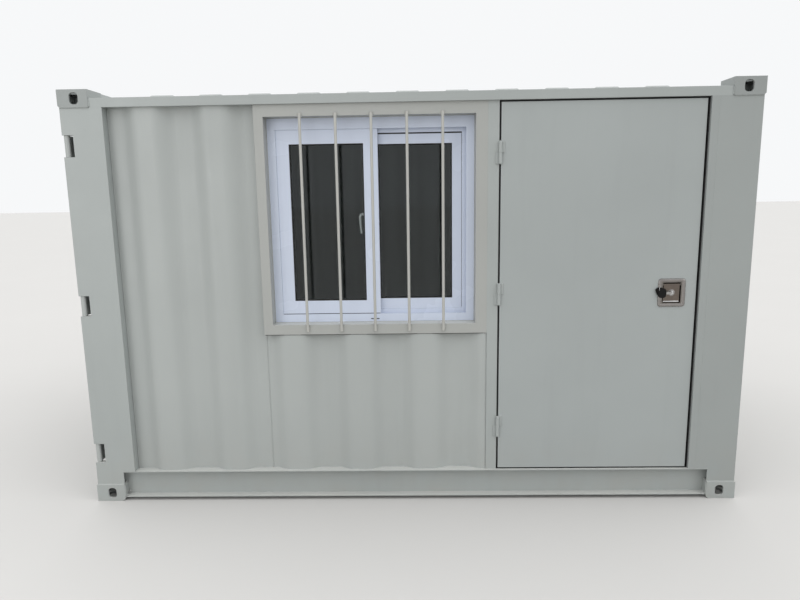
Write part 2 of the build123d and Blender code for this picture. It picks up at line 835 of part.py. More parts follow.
def all_parts():
    parts = {}
    for tag, shape in (("bottom", bottom_casting()), ("top", top_casting())):
        parts[f"casting_front_left_{tag}"] = shape
        parts[f"casting_front_right_{tag}"] = side_to_side(shape)
        parts[f"casting_back_left_{tag}"] = front_to_back(shape)
        parts[f"casting_back_right_{tag}"] = side_to_side(front_to_back(shape))
    plain, hinged = plain_post(), hinge_post()
    parts["post_front_left"] = hinged
    parts["post_back_left"] = front_to_back(hinged)
    parts["post_front_right"] = side_to_side(plain)
    parts["post_back_right"] = front_to_back(side_to_side(plain))
    parts["top_rail_front"] = top_rail_front()
    parts["top_rail_back"] = front_to_back(top_rail_front())
    parts["top_rail_right"] = top_rail_right()
    parts["end_door_header"] = end_header()
    parts["bottom_rail_front"] = bottom_rail_front()
    parts["bottom_rail_back"] = front_to_back(bottom_rail_front())
    parts["bottom_rail_right"] = bottom_rail_right()
    parts["end_door_sill"] = end_sill()
    parts["floor_cross_members"] = floor_cross_members()
    parts["floor_board"] = floor_panel()
    parts["front_wall_left"] = front_panel(post_inner_left, surround_x0, post_top)
    parts["front_wall_under_window"] = front_panel(surround_x0, surround_x1, surround_bottom)
    parts["back_wall"] = back_panel()
    parts["right_wall"] = right_panel()
    parts["roof_sheet"] = roof()
    parts["window_surround"] = window_surround()
    parts["window_frame"] = window_frame()
    parts["window_sash_left"] = window_sash(sash_left_x0, sash_left_x1, frame_front_track, sash_front_y)
    parts["window_sash_right"] = window_sash(sash_right_x0, sash_right_x1, frame_rear_track, sash_rear_y)
    parts["window_glass"] = window_glass()
    parts["window_handle"] = window_handle()
    parts["door_post"] = door_post()
    parts["door_jamb"] = door_jamb()
    parts["door_leaf"] = door_leaf()
    parts["door_inner_sheet"] = door_inner_sheet()
    parts["door_hinges_frame_side"] = three_hinges(door_hinge_frame_half)
    parts["door_hinges_leaf_side"] = three_hinges(door_hinge_leaf_half)
    parts["latch_dish"] = latch_dish()
    parts["latch_paddle"] = latch_paddle()
    parts["lock_cylinder"] = lock_cylinder()
    parts["key_bow"] = key_bow()
    parts["end_door_front"] = end_leaf()
    parts["end_door_back"] = front_to_back(end_leaf())
    parts["end_door_lock_rods"] = lock_rods()
    return parts


os.makedirs("parts", exist_ok=True)
for name, shape in all_parts().items():
    save(shape, name)
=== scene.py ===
import json
import math

import bmesh
import bpy
from bpy.props import FloatProperty, FloatVectorProperty, IntProperty, PointerProperty
from mathutils import Matrix, Vector


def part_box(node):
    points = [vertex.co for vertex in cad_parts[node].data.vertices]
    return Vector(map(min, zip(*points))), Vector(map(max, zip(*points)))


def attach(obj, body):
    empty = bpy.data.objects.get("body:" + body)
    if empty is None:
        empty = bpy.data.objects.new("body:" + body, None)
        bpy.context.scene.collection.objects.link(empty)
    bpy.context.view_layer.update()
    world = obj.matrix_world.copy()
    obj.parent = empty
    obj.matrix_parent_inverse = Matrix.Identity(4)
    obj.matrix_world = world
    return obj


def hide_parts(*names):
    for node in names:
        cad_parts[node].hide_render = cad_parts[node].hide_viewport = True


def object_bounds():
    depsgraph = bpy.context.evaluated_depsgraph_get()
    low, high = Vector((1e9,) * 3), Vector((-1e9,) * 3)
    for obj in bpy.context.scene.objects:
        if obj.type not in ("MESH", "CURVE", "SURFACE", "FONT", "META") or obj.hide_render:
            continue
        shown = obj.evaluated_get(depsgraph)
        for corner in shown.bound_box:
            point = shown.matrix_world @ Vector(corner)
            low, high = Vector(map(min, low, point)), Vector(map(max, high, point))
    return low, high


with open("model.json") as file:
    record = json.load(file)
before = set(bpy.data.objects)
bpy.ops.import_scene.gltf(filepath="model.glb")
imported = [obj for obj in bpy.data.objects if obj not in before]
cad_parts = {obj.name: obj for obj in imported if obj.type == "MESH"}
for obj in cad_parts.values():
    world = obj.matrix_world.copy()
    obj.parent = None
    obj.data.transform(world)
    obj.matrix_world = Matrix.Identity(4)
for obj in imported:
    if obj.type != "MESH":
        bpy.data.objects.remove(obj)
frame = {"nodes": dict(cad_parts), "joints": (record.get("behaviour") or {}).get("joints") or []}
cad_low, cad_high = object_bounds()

bl_info = {
    "name": "Container Cabin Finishes",
    "version": (1, 0, 0),
    "blender": (4, 5, 0),
    "location": "View3D > Sidebar > Cabin",
    "description": "Paint, window bars, seals, welds and small hardware of a steel container cabin",
    "category": "Object",
}

# Low and high corners of the CAD pieces that the new pieces sit on, in metres
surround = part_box("window_surround")
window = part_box("window_frame")
front_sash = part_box("window_sash_left")
rear_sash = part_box("window_sash_right")
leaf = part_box("door_leaf")
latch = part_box("latch_dish")
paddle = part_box("latch_paddle")
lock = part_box("lock_cylinder")
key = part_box("key_bow")
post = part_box("post_front_left")
low_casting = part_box("casting_front_left_bottom")
high_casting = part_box("casting_front_left_top")
front_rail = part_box("top_rail_front")
front_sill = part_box("bottom_rail_front")
left_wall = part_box("front_wall_left")
low_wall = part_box("front_wall_under_window")
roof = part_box("roof_sheet")
floor_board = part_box("floor_board")
face = leaf[0].y


# Settings that a user would change


def colour_setting(name, description, value):
    return FloatVectorProperty(
        name=name, description=description, default=value, min=0.0, max=1.0, subtype="COLOR")


def length_setting(name, description, value):
    return FloatProperty(name=name, description=description, default=value, min=0.0, unit="LENGTH")


class PaintSettings(bpy.types.PropertyGroup):
    frame_colour: colour_setting(
        "Frame Paint", "Paint on the posts, rails and castings", (0.330, 0.356, 0.351))
    wall_colour: colour_setting(
        "Wall Paint", "Paint on the walls, the roof and the end doors", (0.354, 0.377, 0.370))
    door_colour: colour_setting("Door Paint", "Paint on the front door leaf", (0.326, 0.353, 0.352))
    surround_colour: colour_setting(
        "Surround Paint", "Paint on the window surround", (0.341, 0.351, 0.338))
    bar_colour: colour_setting("Bar Paint", "Creamy paint on the window bars", (0.400, 0.402, 0.380))
    dust_colour: colour_setting("Dust", "Dry earth that settles low on the paint", (0.33, 0.27, 0.21))
    # Faces that look up are made paler: painted top light, partly sun-chalked paint.
    chalk_and_top_light_colour: colour_setting(
        "Chalked Paint", "Paint that the sun has paled on faces that look up", (0.50, 0.51, 0.49))
    dust_height: length_setting(
        "Dust Height", "Height above the ground at which the dust has faded out", 0.42)
    plastic_colour: colour_setting(
        "Window Plastic", "Plastic of the window frame and sashes", (0.55, 0.605, 0.72))
    # The latch steel's dark brown is painted reflection of brown ground in the metal.
    steel_and_ground_reflection_colour: colour_setting("Latch Steel", "Brushed steel of the paddle latch", (0.155, 0.130, 0.112))


class WindowSettings(bpy.types.PropertyGroup):
    bars: IntProperty(
        name="Bars", description="Number of bars in front of the window", default=5, min=1,
        subtype="UNSIGNED")
    first_bar: length_setting(
        "First Bar", "Distance of the first bar from the left edge of the surround", 0.234)
    bar_pitch: length_setting("Bar Pitch", "Distance from one bar to the next", 0.1788)
    bar_radius: length_setting("Bar Radius", "Radius of a bar", 0.0072)
    bar_foot: length_setting(
        "Bar Foot", "Height of the bars' lower ends above the surround's lower edge", 0.017)
    bar_head: length_setting(
        "Bar Head", "Distance of the bars' upper ends below the surround's upper edge", 0.046)
    bar_joggle: length_setting("Joggle", "How far a bar's ends step back to the surround", 0.0032)
    gasket_width: length_setting(
        "Gasket Width", "Visible width of the black gasket round a pane", 0.0065)


class WeldSettings(bpy.types.PropertyGroup):
    bead_radius: length_setting("Bead Radius", "Radius of a fillet weld on the frame", 0.0046)
    seam_radius: length_setting("Seam Radius", "Radius of a weld along a thin sheet", 0.0022)
    ripple: length_setting("Ripple", "Length of one ripple in a weld", 0.012)


class SealSettings(bpy.types.PropertyGroup):
    # The door seal's black rubber also stands for the shade in the door gap.
    door_seal_and_gap_shade: length_setting(
        "Door Seal", "Thickness of the rubber that lines the front door opening", 0.004)
    end_seal: length_setting("End Door Seal", "Width of the rubber round an end door leaf", 0.0045)


class StageSettings(bpy.types.PropertyGroup):
    horizon_strength: FloatProperty(
        name="Horizon", description="Plain light that falls from low all round", default=0.58,
        subtype="UNSIGNED")
    zenith_strength: FloatProperty(
        name="Zenith", description="Plain light that falls from straight above", default=1.95,
        subtype="UNSIGNED")
    side_strength: FloatProperty(
        name="Side Lamp", description="Soft light from the right, in watts per square metre",
        default=0.65, subtype="UNSIGNED")
    front_strength: FloatProperty(
        name="Front Lamp", description="Large soft light at the left of the front, in watts",
        default=68.0, unit="POWER")
    floor_colour: colour_setting("Floor", "Plain floor under the cabin", (0.52, 0.515, 0.505))
    floor_return: colour_setting(
        "Floor Return", "Colour of the light that the floor sends back to the cabin",
        (0.40, 0.39, 0.37))
    lens: FloatProperty(
        name="Lens", description="Focal length of the camera in millimetres", default=28.443,
        unit="CAMERA")


# Node helpers, which find the tree through the socket or node that they are given


def plug(socket, value):
    """Links a socket to another one or to a node's first output, or else sets its value."""
    if isinstance(value, bpy.types.Node):
        value = value.outputs[0]
    if isinstance(value, bpy.types.NodeSocket):
        socket.id_data.links.new(value, socket)
    else:
        socket.default_value = value


def plug_in_order(node, *values):
    for socket, value in zip(node.inputs, values):
        plug(socket, value)
    return node


def set_inputs(node, **inputs):
    for label, value in inputs.items():
        plug(node.inputs[label.replace("_", " ")], value)


def add_node(tree, kind, settings=None, **inputs):
    node = tree.nodes.new(kind)
    for label, value in (settings or {}).items():
        setattr(node, label, value)
    set_inputs(node, **inputs)
    return node


def noise(place, scale, detail, roughness):
    node = add_node(place.id_data, "ShaderNodeTexNoise", Vector=place, Scale=scale, Detail=detail,
                    Roughness=roughness)
    return node.outputs["Fac"]


def stretched(place, scale):
    return add_node(place.id_data, "ShaderNodeMapping", Vector=place, Scale=scale).outputs["Vector"]


def parts(vector):
    return add_node(vector.id_data, "ShaderNodeSeparateXYZ", Vector=vector).outputs


def combined(tree, x=0.0, y=0.0, z=0.0):
    return add_node(tree, "ShaderNodeCombineXYZ", X=x, Y=y, Z=z).outputs["Vector"]


def spread(value, low, high, to_low=0.0, to_high=1.0, course="LINEAR"):
    node = add_node(value.id_data, "ShaderNodeMapRange", {"interpolation_type": course}, Value=value,
                    From_Min=low, From_Max=high, To_Min=to_low, To_Max=to_high)
    return node.outputs["Result"]


def arithmetic(operation, first, second):
    node = add_node(first.id_data, "ShaderNodeMath", {"operation": operation})
    return plug_in_order(node, first, second).outputs["Value"]


def vector_math(operation, first, *others):
    node = add_node(first.id_data, "ShaderNodeVectorMath", {"operation": operation})
    return plug_in_order(node, first, *others).outputs


def blend(amount, first, second):
    """Goes from the first colour to the second. Each is a socket, or red, green and blue."""
    node = add_node(amount.id_data, "ShaderNodeMix", {"data_type": "RGBA"})
    plug(node.inputs[0], amount)
    for index, colour in ((6, first), (7, second)):
        plug(node.inputs[index], colour if isinstance(colour, bpy.types.NodeSocket) else (*colour, 1.0))
    return node.outputs[2]


def mixed_shaders(amount, first, second):
    return plug_in_order(add_node(amount.id_data, "ShaderNodeMixShader"), amount, first, second)


def rounded_normal(tree, radius):
    return add_node(tree, "ShaderNodeBevel", {"samples": 4}, Radius=radius).outputs["Normal"]


def bump(height, distance, strength, under=None):
    node = add_node(height.id_data, "ShaderNodeBump", Height=height, Distance=distance, Strength=strength)
    if under is not None:
        plug(node.inputs["Normal"], under)
    return node.outputs["Normal"]


def shade(colour, factor):
    return tuple(min(1.0, part * factor) for part in colour)


def opened(finish):
    """The shader of a finish and the object coordinates."""
    place = add_node(finish.node_tree, "ShaderNodeTexCoord").outputs["Object"]
    return finish.node_tree.nodes["Principled BSDF"], place


def new_finish():
    finish = bpy.data.materials.new("finish")
    finish.use_nodes = True
    return finish, *opened(finish)


# Finishes. The numbers of a noise are its scale, detail and roughness, and those of spread two ranges.


def painted_steel(colour, settings, ripple=0.0035):
    """Paint with washed streaks and dust low down, paler on top as painted top light with some sun
    chalking, and worn along its edges.
    """
    finish, shader, place = new_finish()
    patches = noise(place, 1.1, 4.0, 0.55)
    coat = blend(spread(patches, 0.32, 0.68), shade(colour, 0.965), shade(colour, 1.035))
    washed = noise(stretched(place, (10.0, 10.0, 0.7)), 1.0, 5.0, 0.62)
    coat = blend(spread(washed, 0.55, 0.82, 0.0, 0.16), coat, shade(colour, 0.72))
    settled = arithmetic("MULTIPLY", spread(parts(place)["Z"], 0.0, settings.dust_height, 0.16, 0.0),
                         spread(noise(place, 7.0, 6.0, 0.65), 0.35, 0.7))
    coat = blend(settled, coat, settings.dust_colour)
    flat = add_node(finish.node_tree, "ShaderNodeNewGeometry").outputs["Normal"]
    # Paler on faces that look up: painted top light, partly chalking.
    top_light_and_chalk = arithmetic("MULTIPLY", spread(parts(flat)["Z"], 0.8, 0.95, 0.0, 0.9),
                          spread(patches, 0.2, 0.6, 0.7, 1.0))
    coat = blend(top_light_and_chalk, coat, settings.chalk_and_top_light_colour)
    rounded = rounded_normal(finish.node_tree, 0.0016)
    edge = spread(vector_math("DOT_PRODUCT", rounded, flat)["Value"], 0.99, 0.80)
    worn = arithmetic("MULTIPLY", edge, spread(noise(place, 38.0, 4.0, 0.6), 0.52, 0.66, 0.0, 0.6))
    wave = bump(noise(place, 2.4, 2.0, 0.4), ripple, 0.55, rounded)
    set_inputs(shader, Base_Color=blend(worn, coat, shade(colour, 0.62)),
               Roughness=spread(noise(place, 5.0, 5.0, 0.6), 0.3, 0.7, 0.36, 0.5),
               Normal=bump(noise(place, 520.0, 2.0, 0.5), 0.0002, 0.35, wave))
    return finish


def casting_paint(colour, settings):
    """Frame paint outside, and near-black in the hollow of each corner casting: painted shade, partly the
    dark bare metal in there.
    """
    finish = painted_steel(colour, settings)
    shader, place = opened(finish)
    coat = shader.inputs["Base Color"].links[0].from_socket
    from_centre = vector_math("SUBTRACT", place, (cad_low + cad_high) / 2)["Vector"]
    spans = parts(vector_math("ABSOLUTE", from_centre)["Vector"])
    skin = 0.012
    tests = [arithmetic("LESS_THAN", spans[axis], outer - skin)
             for axis, outer in zip("XYZ", (cad_high - cad_low) / 2)]
    tests += [arithmetic("GREATER_THAN", spans[axis], skin - inner)
              for axis, inner in zip("XY", low_casting[1])]
    within = tests[0]
    for test in tests[1:]:
        within = arithmetic("MULTIPLY", within, test)
    # Near-black in the hollows: painted shade, and in part dark bare metal.
    hollow_shade_and_bare_metal = blend(noise(place, 40.0, 4.0, 0.6), (0.02, 0.018, 0.016), (0.05, 0.042, 0.035))
    set_inputs(shader, Base_Color=blend(within, coat, hollow_shade_and_bare_metal))
    return finish


def dark_coating():
    finish, shader, place = new_finish()
    patches = noise(place, 6.0, 5.0, 0.6)
    set_inputs(shader, Base_Color=blend(patches, (0.03, 0.03, 0.03), (0.075, 0.07, 0.062)), Roughness=0.72,
               Normal=bump(noise(place, 90.0, 4.0, 0.6), 0.0008, 0.5))
    return finish


def sealed_plywood():
    finish, shader, place = new_finish()
    along = stretched(place, (2.2, 26.0, 26.0))
    grain = noise(along, 3.0, 7.0, 0.65)
    rings = add_node(finish.node_tree, "ShaderNodeTexWave", {"bands_direction": "Y"}, Vector=along,
                     Scale=0.7, Distortion=9.0, Detail=3.0).outputs["Fac"]
    mixed = arithmetic("ADD", arithmetic("MULTIPLY", grain, 0.7), arithmetic("MULTIPLY", rings, 0.3))
    tone = blend(spread(mixed, 0.25, 0.75), (0.30, 0.17, 0.085), (0.46, 0.29, 0.155))
    set_inputs(shader, Base_Color=tone, Roughness=spread(grain, 0.3, 0.7, 0.42, 0.6),
               Normal=bump(grain, 0.0006, 0.5))
    return finish


def window_plastic(colour):
    finish, shader, place = new_finish()
    patches = noise(place, 3.0, 3.0, 0.5)
    tone = blend(patches, shade(colour, 0.97), shade(colour, 1.04))
    drawn = noise(stretched(place, (60.0, 60.0, 1.2)), 1.0, 3.0, 0.5)
    tone = blend(spread(drawn, 0.55, 0.8, 0.0, 0.12), tone, shade(colour, 0.82))
    set_inputs(shader, Base_Color=tone, Roughness=spread(patches, 0.3, 0.7, 0.2, 0.3),
               Normal=bump(drawn, 0.0003, 0.15, rounded_normal(finish.node_tree, 0.0022)))
    return finish


def pane_glass():
    finish, shader, place = new_finish()
    tree = finish.node_tree
    tree.nodes.remove(shader)
    smear = noise(stretched(place, (3.0, 3.0, 1.0)), 2.0, 4.0, 0.6)
    clear = add_node(tree, "ShaderNodeBsdfTransparent", Color=(0.84, 0.865, 0.865, 1.0))
    sheen = add_node(tree, "ShaderNodeBsdfAnisotropic", Color=(0.92, 0.95, 0.97, 1.0),
                     Roughness=spread(smear, 0.4, 0.75, 0.012, 0.07))
    surface = mixed_shaders(add_node(tree, "ShaderNodeFresnel", IOR=1.38), clear, sheen)
    set_inputs(tree.nodes["Material Output"], Surface=surface)
    return finish


def brushed_steel(colour, smooth=0.24, rough=0.4):
    finish, shader, place = new_finish()
    lines = noise(stretched(place, (25.0, 900.0, 900.0)), 1.0, 3.0, 0.6)
    patches = noise(place, 45.0, 4.0, 0.6)
    set_inputs(shader, Base_Color=blend(patches, shade(colour, 0.8), shade(colour, 1.2)), Metallic=1.0,
               Roughness=spread(lines, 0.3, 0.7, smooth, rough),
               Normal=bump(lines, 0.00012, 0.3, rounded_normal(finish.node_tree, 0.0008)))
    return finish


def black_rubber():
    finish, shader, place = new_finish()
    specks = noise(place, 60.0, 4.0, 0.6)
    set_inputs(shader, Base_Color=blend(specks, (0.007, 0.007, 0.008), (0.02, 0.02, 0.019)),
               Roughness=spread(specks, 0.3, 0.7, 0.5, 0.72),
               Normal=bump(noise(place, 700.0, 2.0, 0.5), 0.0002, 0.3))
    return finish


def black_plastic():
    finish, shader, place = new_finish()
    specks = noise(place, 120.0, 3.0, 0.5)
    set_inputs(shader, Base_Color=blend(specks, (0.003, 0.003, 0.003), (0.007, 0.006, 0.006)),
               Roughness=spread(specks, 0.3, 0.7, 0.3, 0.45), Specular_IOR_Level=0.18,
               Normal=bump(noise(place, 1500.0, 2.0, 0.5), 0.0001, 0.25))
    return finish


def key_in_lock():
    """Black plastic bow, and a nickel shank between the bow and the lock."""
    finish = black_plastic()
    shader, place = opened(finish)
    bow = shader.inputs["Base Color"].links[0].from_socket
    bow_width = 0.0415
    shank = arithmetic("GREATER_THAN", parts(place)["X"], key[0].x + bow_width)
    nickel = blend(noise(place, 300.0, 3.0, 0.5), (0.30, 0.29, 0.28), (0.42, 0.41, 0.40))
    set_inputs(shader, Base_Color=blend(shank, bow, nickel), Metallic=shank)
    return finish


def zinc_plating():
    finish, shader, place = new_finish()
    flakes = add_node(finish.node_tree, "ShaderNodeTexVoronoi", Vector=place, Scale=260.0)
    tone = spread(flakes.outputs["Distance"], 0.1, 0.7)
    set_inputs(shader, Base_Color=blend(tone, (0.42, 0.43, 0.44), (0.60, 0.60, 0.59)), Metallic=1.0,
               Roughness=spread(noise(place, 90.0, 3.0, 0.5), 0.3, 0.7, 0.3, 0.48))
    return finish


FINISHES = {
    "frame_coat": lambda s: painted_steel(s.frame_colour, s),
    "casting_coat": lambda s: casting_paint(s.frame_colour, s),
    # Top castings: frame paint darkened to 0.80 as painted shade, so that they render darker.
    "high_casting_shaded_coat": lambda s: casting_paint(shade(s.frame_colour, 0.80), s),
    # Frame paint darkened to 0.88: painted shade, as the light falls off towards the right.
    "right_post_shaded_coat": lambda s: painted_steel(shade(s.frame_colour, 0.88), s),
    "sheet_coat": lambda s: painted_steel(s.wall_colour, s, 0.005),
    "door_coat": lambda s: painted_steel(s.door_colour, s, 0.006),
    "surround_coat": lambda s: painted_steel(s.surround_colour, s, 0.001),
    "bar_coat": lambda s: painted_steel(s.bar_colour, s, 0.0005),
    "underbody_coat": lambda s: dark_coating(),
    "sealed_plywood": lambda s: sealed_plywood(),
    "white_profile": lambda s: window_plastic(s.plastic_colour),
    "handle_enamel": lambda s: window_plastic((0.86, 0.86, 0.84)),
    "pane_glass": lambda s: pane_glass(),
    # Paddle and dish: brushed steel tinted dark brown, a painted reflection of brown ground.
    "paddle_steel_reflection": lambda s: brushed_steel(s.steel_and_ground_reflection_colour),
    "rim_steel_reflection": lambda s: brushed_steel((0.20, 0.185, 0.17), 0.16, 0.3),
    "rim_chrome": lambda s: brushed_steel((0.27, 0.255, 0.245), 0.12, 0.22),
    "chrome": lambda s: brushed_steel((0.72, 0.72, 0.73), 0.1, 0.2),
    "bow_plastic": lambda s: black_plastic(),
    "key_coat": lambda s: key_in_lock(),
    "seal_rubber": lambda s: black_rubber(),
    "zinc": lambda s: zinc_plating(),
}


def finish_named(name):
    finish = bpy.data.materials.get(name)
    if finish is None:
        finish = FINISHES[name](bpy.context.scene.cabin_paint)
        finish.name = name
    return finish


# CAD nodes with each finish; the others have frame_coat
CORNERS = ("front_left", "front_right", "back_left", "back_right")
COATED = {
    "sheet_coat": ("front_wall_left", "front_wall_under_window", "back_wall", "right_wall", "roof_sheet",
                   "end_door_front", "end_door_back"),
    "door_coat": ("door_leaf", "door_inner_sheet"),
    "surround_coat": ("window_surround",),
    # The right post and the door jamb take the darkened paint: painted shade.
    "right_post_shaded_coat": ("post_front_right", "door_jamb"),
    "casting_coat": [f"casting_{corner}_bottom" for corner in CORNERS],
    # The top castings take the darkened paint: painted shade.
    "high_casting_shaded_coat": [f"casting_{corner}_top" for corner in CORNERS],
    "underbody_coat": ("floor_cross_members",),
    "sealed_plywood": ("floor_board",),
    "white_profile": ("window_frame", "window_sash_left", "window_sash_right"),
    "handle_enamel": ("window_handle",),
    "pane_glass": ("window_glass",),
    # The dish and the paddle take the brown steel: painted reflection.
    "rim_steel_reflection": ("latch_dish",),
    "paddle_steel_reflection": ("latch_paddle",),
    "chrome": ("lock_cylinder",),
    "key_coat": ("key_bow",),
}


# Mesh helpers

# Corners that are closer together than this are merged
MERGE_DISTANCE = 0.00001


def finished_piece(name, mesh, finish, body="cabin", crease=35.0):
    if not mesh.polygons:
        raise RuntimeError(f"{name} has no faces")
    mesh.materials.clear()
    mesh.materials.append(finish_named(finish))
    mesh.polygons.foreach_set("use_smooth", [True] * len(mesh.polygons))
    mesh.set_sharp_from_angle(angle=math.radians(crease))
    piece = bpy.data.objects.new(name, mesh)
    bpy.context.scene.collection.objects.link(piece)
    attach(piece, body)
    return piece


def mesh_from(name, shape, merge=MERGE_DISTANCE):
    bmesh.ops.remove_doubles(shape, verts=shape.verts, dist=merge)
    bmesh.ops.recalc_face_normals(shape, faces=shape.faces)
    mesh = bpy.data.meshes.new(name)
    shape.to_mesh(mesh)
    shape.free()
    return mesh


def solid_piece(name, shape, finish, body="cabin", crease=35.0, merge=MERGE_DISTANCE):
    return finished_piece(name, mesh_from(name, shape, merge), finish, body, crease)


def rounded_loop(u0, u1, v0, v1, corner, steps=5):
    if corner <= 0.0:
        return [(u0, v0), (u1, v0), (u1, v1), (u0, v1)]
    points = []
    for u, v, start in ((u1 - corner, v0 + corner, -90), (u1 - corner, v1 - corner, 0),
                        (u0 + corner, v1 - corner, 90), (u0 + corner, v0 + corner, 180)):
        for i in range(steps + 1):
            angle = math.radians(start + 90 * i / steps)
            points.append((u + corner * math.cos(angle), v + corner * math.sin(angle)))
    return points


def circle(steps):
    angles = [2 * math.pi * i / steps for i in range(steps)]
    return [(math.cos(angle), math.sin(angle)) for angle in angles]


def facing_front(u, v, depth):
    return (u, depth, v)


def facing_end(u, v, depth):
    return (depth, u, v)


def facing_up(u, v, depth):
    return (u, v, depth)


def add_skin(shape, rings, closed=False, capped=False):
    """Adds a skin over rings of points. A ring of one point is a tip."""
    rings = [[shape.verts.new(point) for point in ring] for ring in rings]
    for a, b in zip(rings, rings[1:] + (rings[:1] if closed else [])):
        count = max(len(a), len(b))
        for i in range(count):
            j = (i + 1) % count
            if len(a) == 1:
                shape.faces.new((a[0], b[j], b[i]))
            elif len(b) == 1:
                shape.faces.new((a[i], a[j], b[0]))
            else:
                shape.faces.new((a[i], a[j], b[j], b[i]))
    if capped:
        shape.faces.new(rings[0])
        shape.faces.new(list(reversed(rings[-1])))


def add_moulding(shape, box, corner, profile, to_world=facing_front):
    """Adds a strip round a rectangle. A profile point is an inset from the rectangle and a depth."""
    rings = []
    for inset, depth in profile:
        radius = max(corner - inset, 0.0002) if corner > 0.0 else 0.0
        loop = rounded_loop(box[0] + inset, box[1] - inset, box[2] + inset, box[3] - inset, radius)
        rings.append([to_world(u, v, depth) for u, v in loop])
    add_skin(shape, rings, closed=True)


def add_plate(shape, loop, near, far, to_world=facing_front, edge=0.0006):
    """Adds a plate with a small bevel round its near and far faces."""
    centre = [sum(values) / len(loop) for values in zip(*loop)]
    narrow = []
    for u, v in loop:
        du, dv = u - centre[0], v - centre[1]
        share = edge / max(math.hypot(du, dv), 1e-6)
        narrow.append((u - du * share, v - dv * share))
    step = math.copysign(edge, far - near)
    rings = ((narrow, near), (loop, near + step), (loop, far - step), (narrow, far))
    add_skin(shape, [[to_world(u, v, depth) for u, v in points] for points, depth in rings], capped=True)


def add_turned(shape, centre, profile, to_world, steps):
    """Adds a lathe shape. A profile point is a radius and a depth, and a radius of 0 is a tip."""
    rings = []
    for radius, depth in profile:
        points = circle(steps) if radius > 0.0 else [(0.0, 0.0)]
        rings.append([to_world(centre[0] + radius * c, centre[1] + radius * s, depth) for c, s in points])
    add_skin(shape, rings)


def add_rod(shape, stations, sides=12):
    """Adds a rod through stations of a place and a radius, with flat ends."""
    places = [Vector(place) for place, radius in stations]
    across = Vector((0.0, 0.0, 1.0))
    rings = []
    for i, (place, radius) in enumerate(stations):
        along = (places[min(i + 1, len(places) - 1)] - places[max(i - 1, 0)]).normalized()
        across = (across - along * across.dot(along)).normalized()
        up = along.cross(across)
        rings.append([places[i] + (across * c + up * s) * radius for c, s in circle(sides)])
    add_skin(shape, rings, capped=True)


def add_ring(shape, centre, radius, wire, tilt, steps=28, sides=8):
    """Adds a round wire ring turned by the matrix tilt."""
    section = [(radius + wire * c, wire * s) for c, s in circle(sides)]
    rings = []
    for c, s in circle(steps):
        rings.append([centre + tilt @ Vector((reach * c, out, reach * s)) for reach, out in section])
    add_skin(shape, rings, closed=True)


# Geometry Nodes trees

SOCKET_KINDS = {int: "NodeSocketInt", float: "NodeSocketFloat", tuple: "NodeSocketVector"}


def new_tree(name, **values):
    """Starts a tree with an input for the geometry, for each named value and for the finish."""
    tree = bpy.data.node_groups.new(name, "GeometryNodeTree")
    add_socket = tree.interface.new_socket
    add_socket(name="Geometry", in_out="INPUT", socket_type="NodeSocketGeometry")
    for label, value in values.items():
        socket = add_socket(
            name=label.replace("_", " "), in_out="INPUT", socket_type=SOCKET_KINDS[type(value)])
        socket.default_value = value
    add_socket(name="Finish", in_out="INPUT", socket_type="NodeSocketMaterial")
    add_socket(name="Geometry", in_out="OUTPUT", socket_type="NodeSocketGeometry")
    return tree, tree.nodes.new("NodeGroupInput").outputs


def close_tree(tree, geometry, finish):
    real = add_node(tree, "GeometryNodeRealizeInstances", Geometry=geometry)
    coated = add_node(tree, "GeometryNodeSetMaterial", Geometry=real, Material=finish)
    add_node(tree, "NodeGroupOutput", Geometry=coated)


def grown_piece(name, tree, source, finish, crease, body="cabin", **values):
    """Runs a tree on a curve or mesh and makes the result a plain piece."""
    values = {label.replace("_", " "): value for label, value in values.items()}
    values["Finish"] = finish_named(finish)
    maker = bpy.data.objects.new(name + "_maker", source)
    bpy.context.scene.collection.objects.link(maker)
    modifier = maker.modifiers.new("shape", "NODES")
    modifier.node_group = tree
    for item in tree.interface.items_tree:
        if item.in_out == "INPUT" and item.name in values:
            modifier[item.identifier] = values[item.name]
    graph = bpy.context.evaluated_depsgraph_get()
    mesh = bpy.data.meshes.new_from_object(maker.evaluated_get(graph), depsgraph=graph)
    mesh.name = name
    maker.modifiers.remove(modifier)
    bpy.data.objects.remove(maker)
    return finished_piece(name, mesh, finish, body, crease=crease)


def window_bar_tree():
    tree, given = new_tree("evenly_spaced_bars", Bars=5, Pitch=0.18, First=0.0, Depth=0.0, Foot=0.0,
                           Head=1.0, Radius=0.007, Joggle=0.003, Bend_Start=0.03, Bend_End=0.06)
    line = add_node(tree, "GeometryNodeCurvePrimitiveLine", Start=combined(tree, z=given["Foot"]),
                    End=combined(tree, z=given["Head"]))
    fine = add_node(tree, "GeometryNodeResampleCurve", Curve=line, Count=90)
    level = parts(add_node(tree, "GeometryNodeInputPosition"))["Z"]
    nearest = arithmetic("MINIMUM", arithmetic("SUBTRACT", level, given["Foot"]),
                         arithmetic("SUBTRACT", given["Head"], level))
    bend = spread(nearest, given["Bend Start"], given["Bend End"], 1.0, 0.0, "SMOOTHSTEP")
    back = arithmetic("MULTIPLY", bend, given["Joggle"])
    bent = add_node(tree, "GeometryNodeSetPosition", Geometry=fine, Offset=combined(tree, y=back))
    ring = add_node(tree, "GeometryNodeCurvePrimitiveCircle", Resolution=16, Radius=given["Radius"])
    bar = add_node(tree, "GeometryNodeCurveToMesh", Curve=bent, Profile_Curve=ring, Fill_Caps=True)
    places = add_node(tree, "GeometryNodeMeshLine", Count=given["Bars"],
                      Start_Location=combined(tree, given["First"], given["Depth"]),
                      Offset=combined(tree, given["Pitch"]))
    row = add_node(tree, "GeometryNodeInstanceOnPoints", Points=places, Instance=bar)
    close_tree(tree, row, given["Finish"])
    return tree


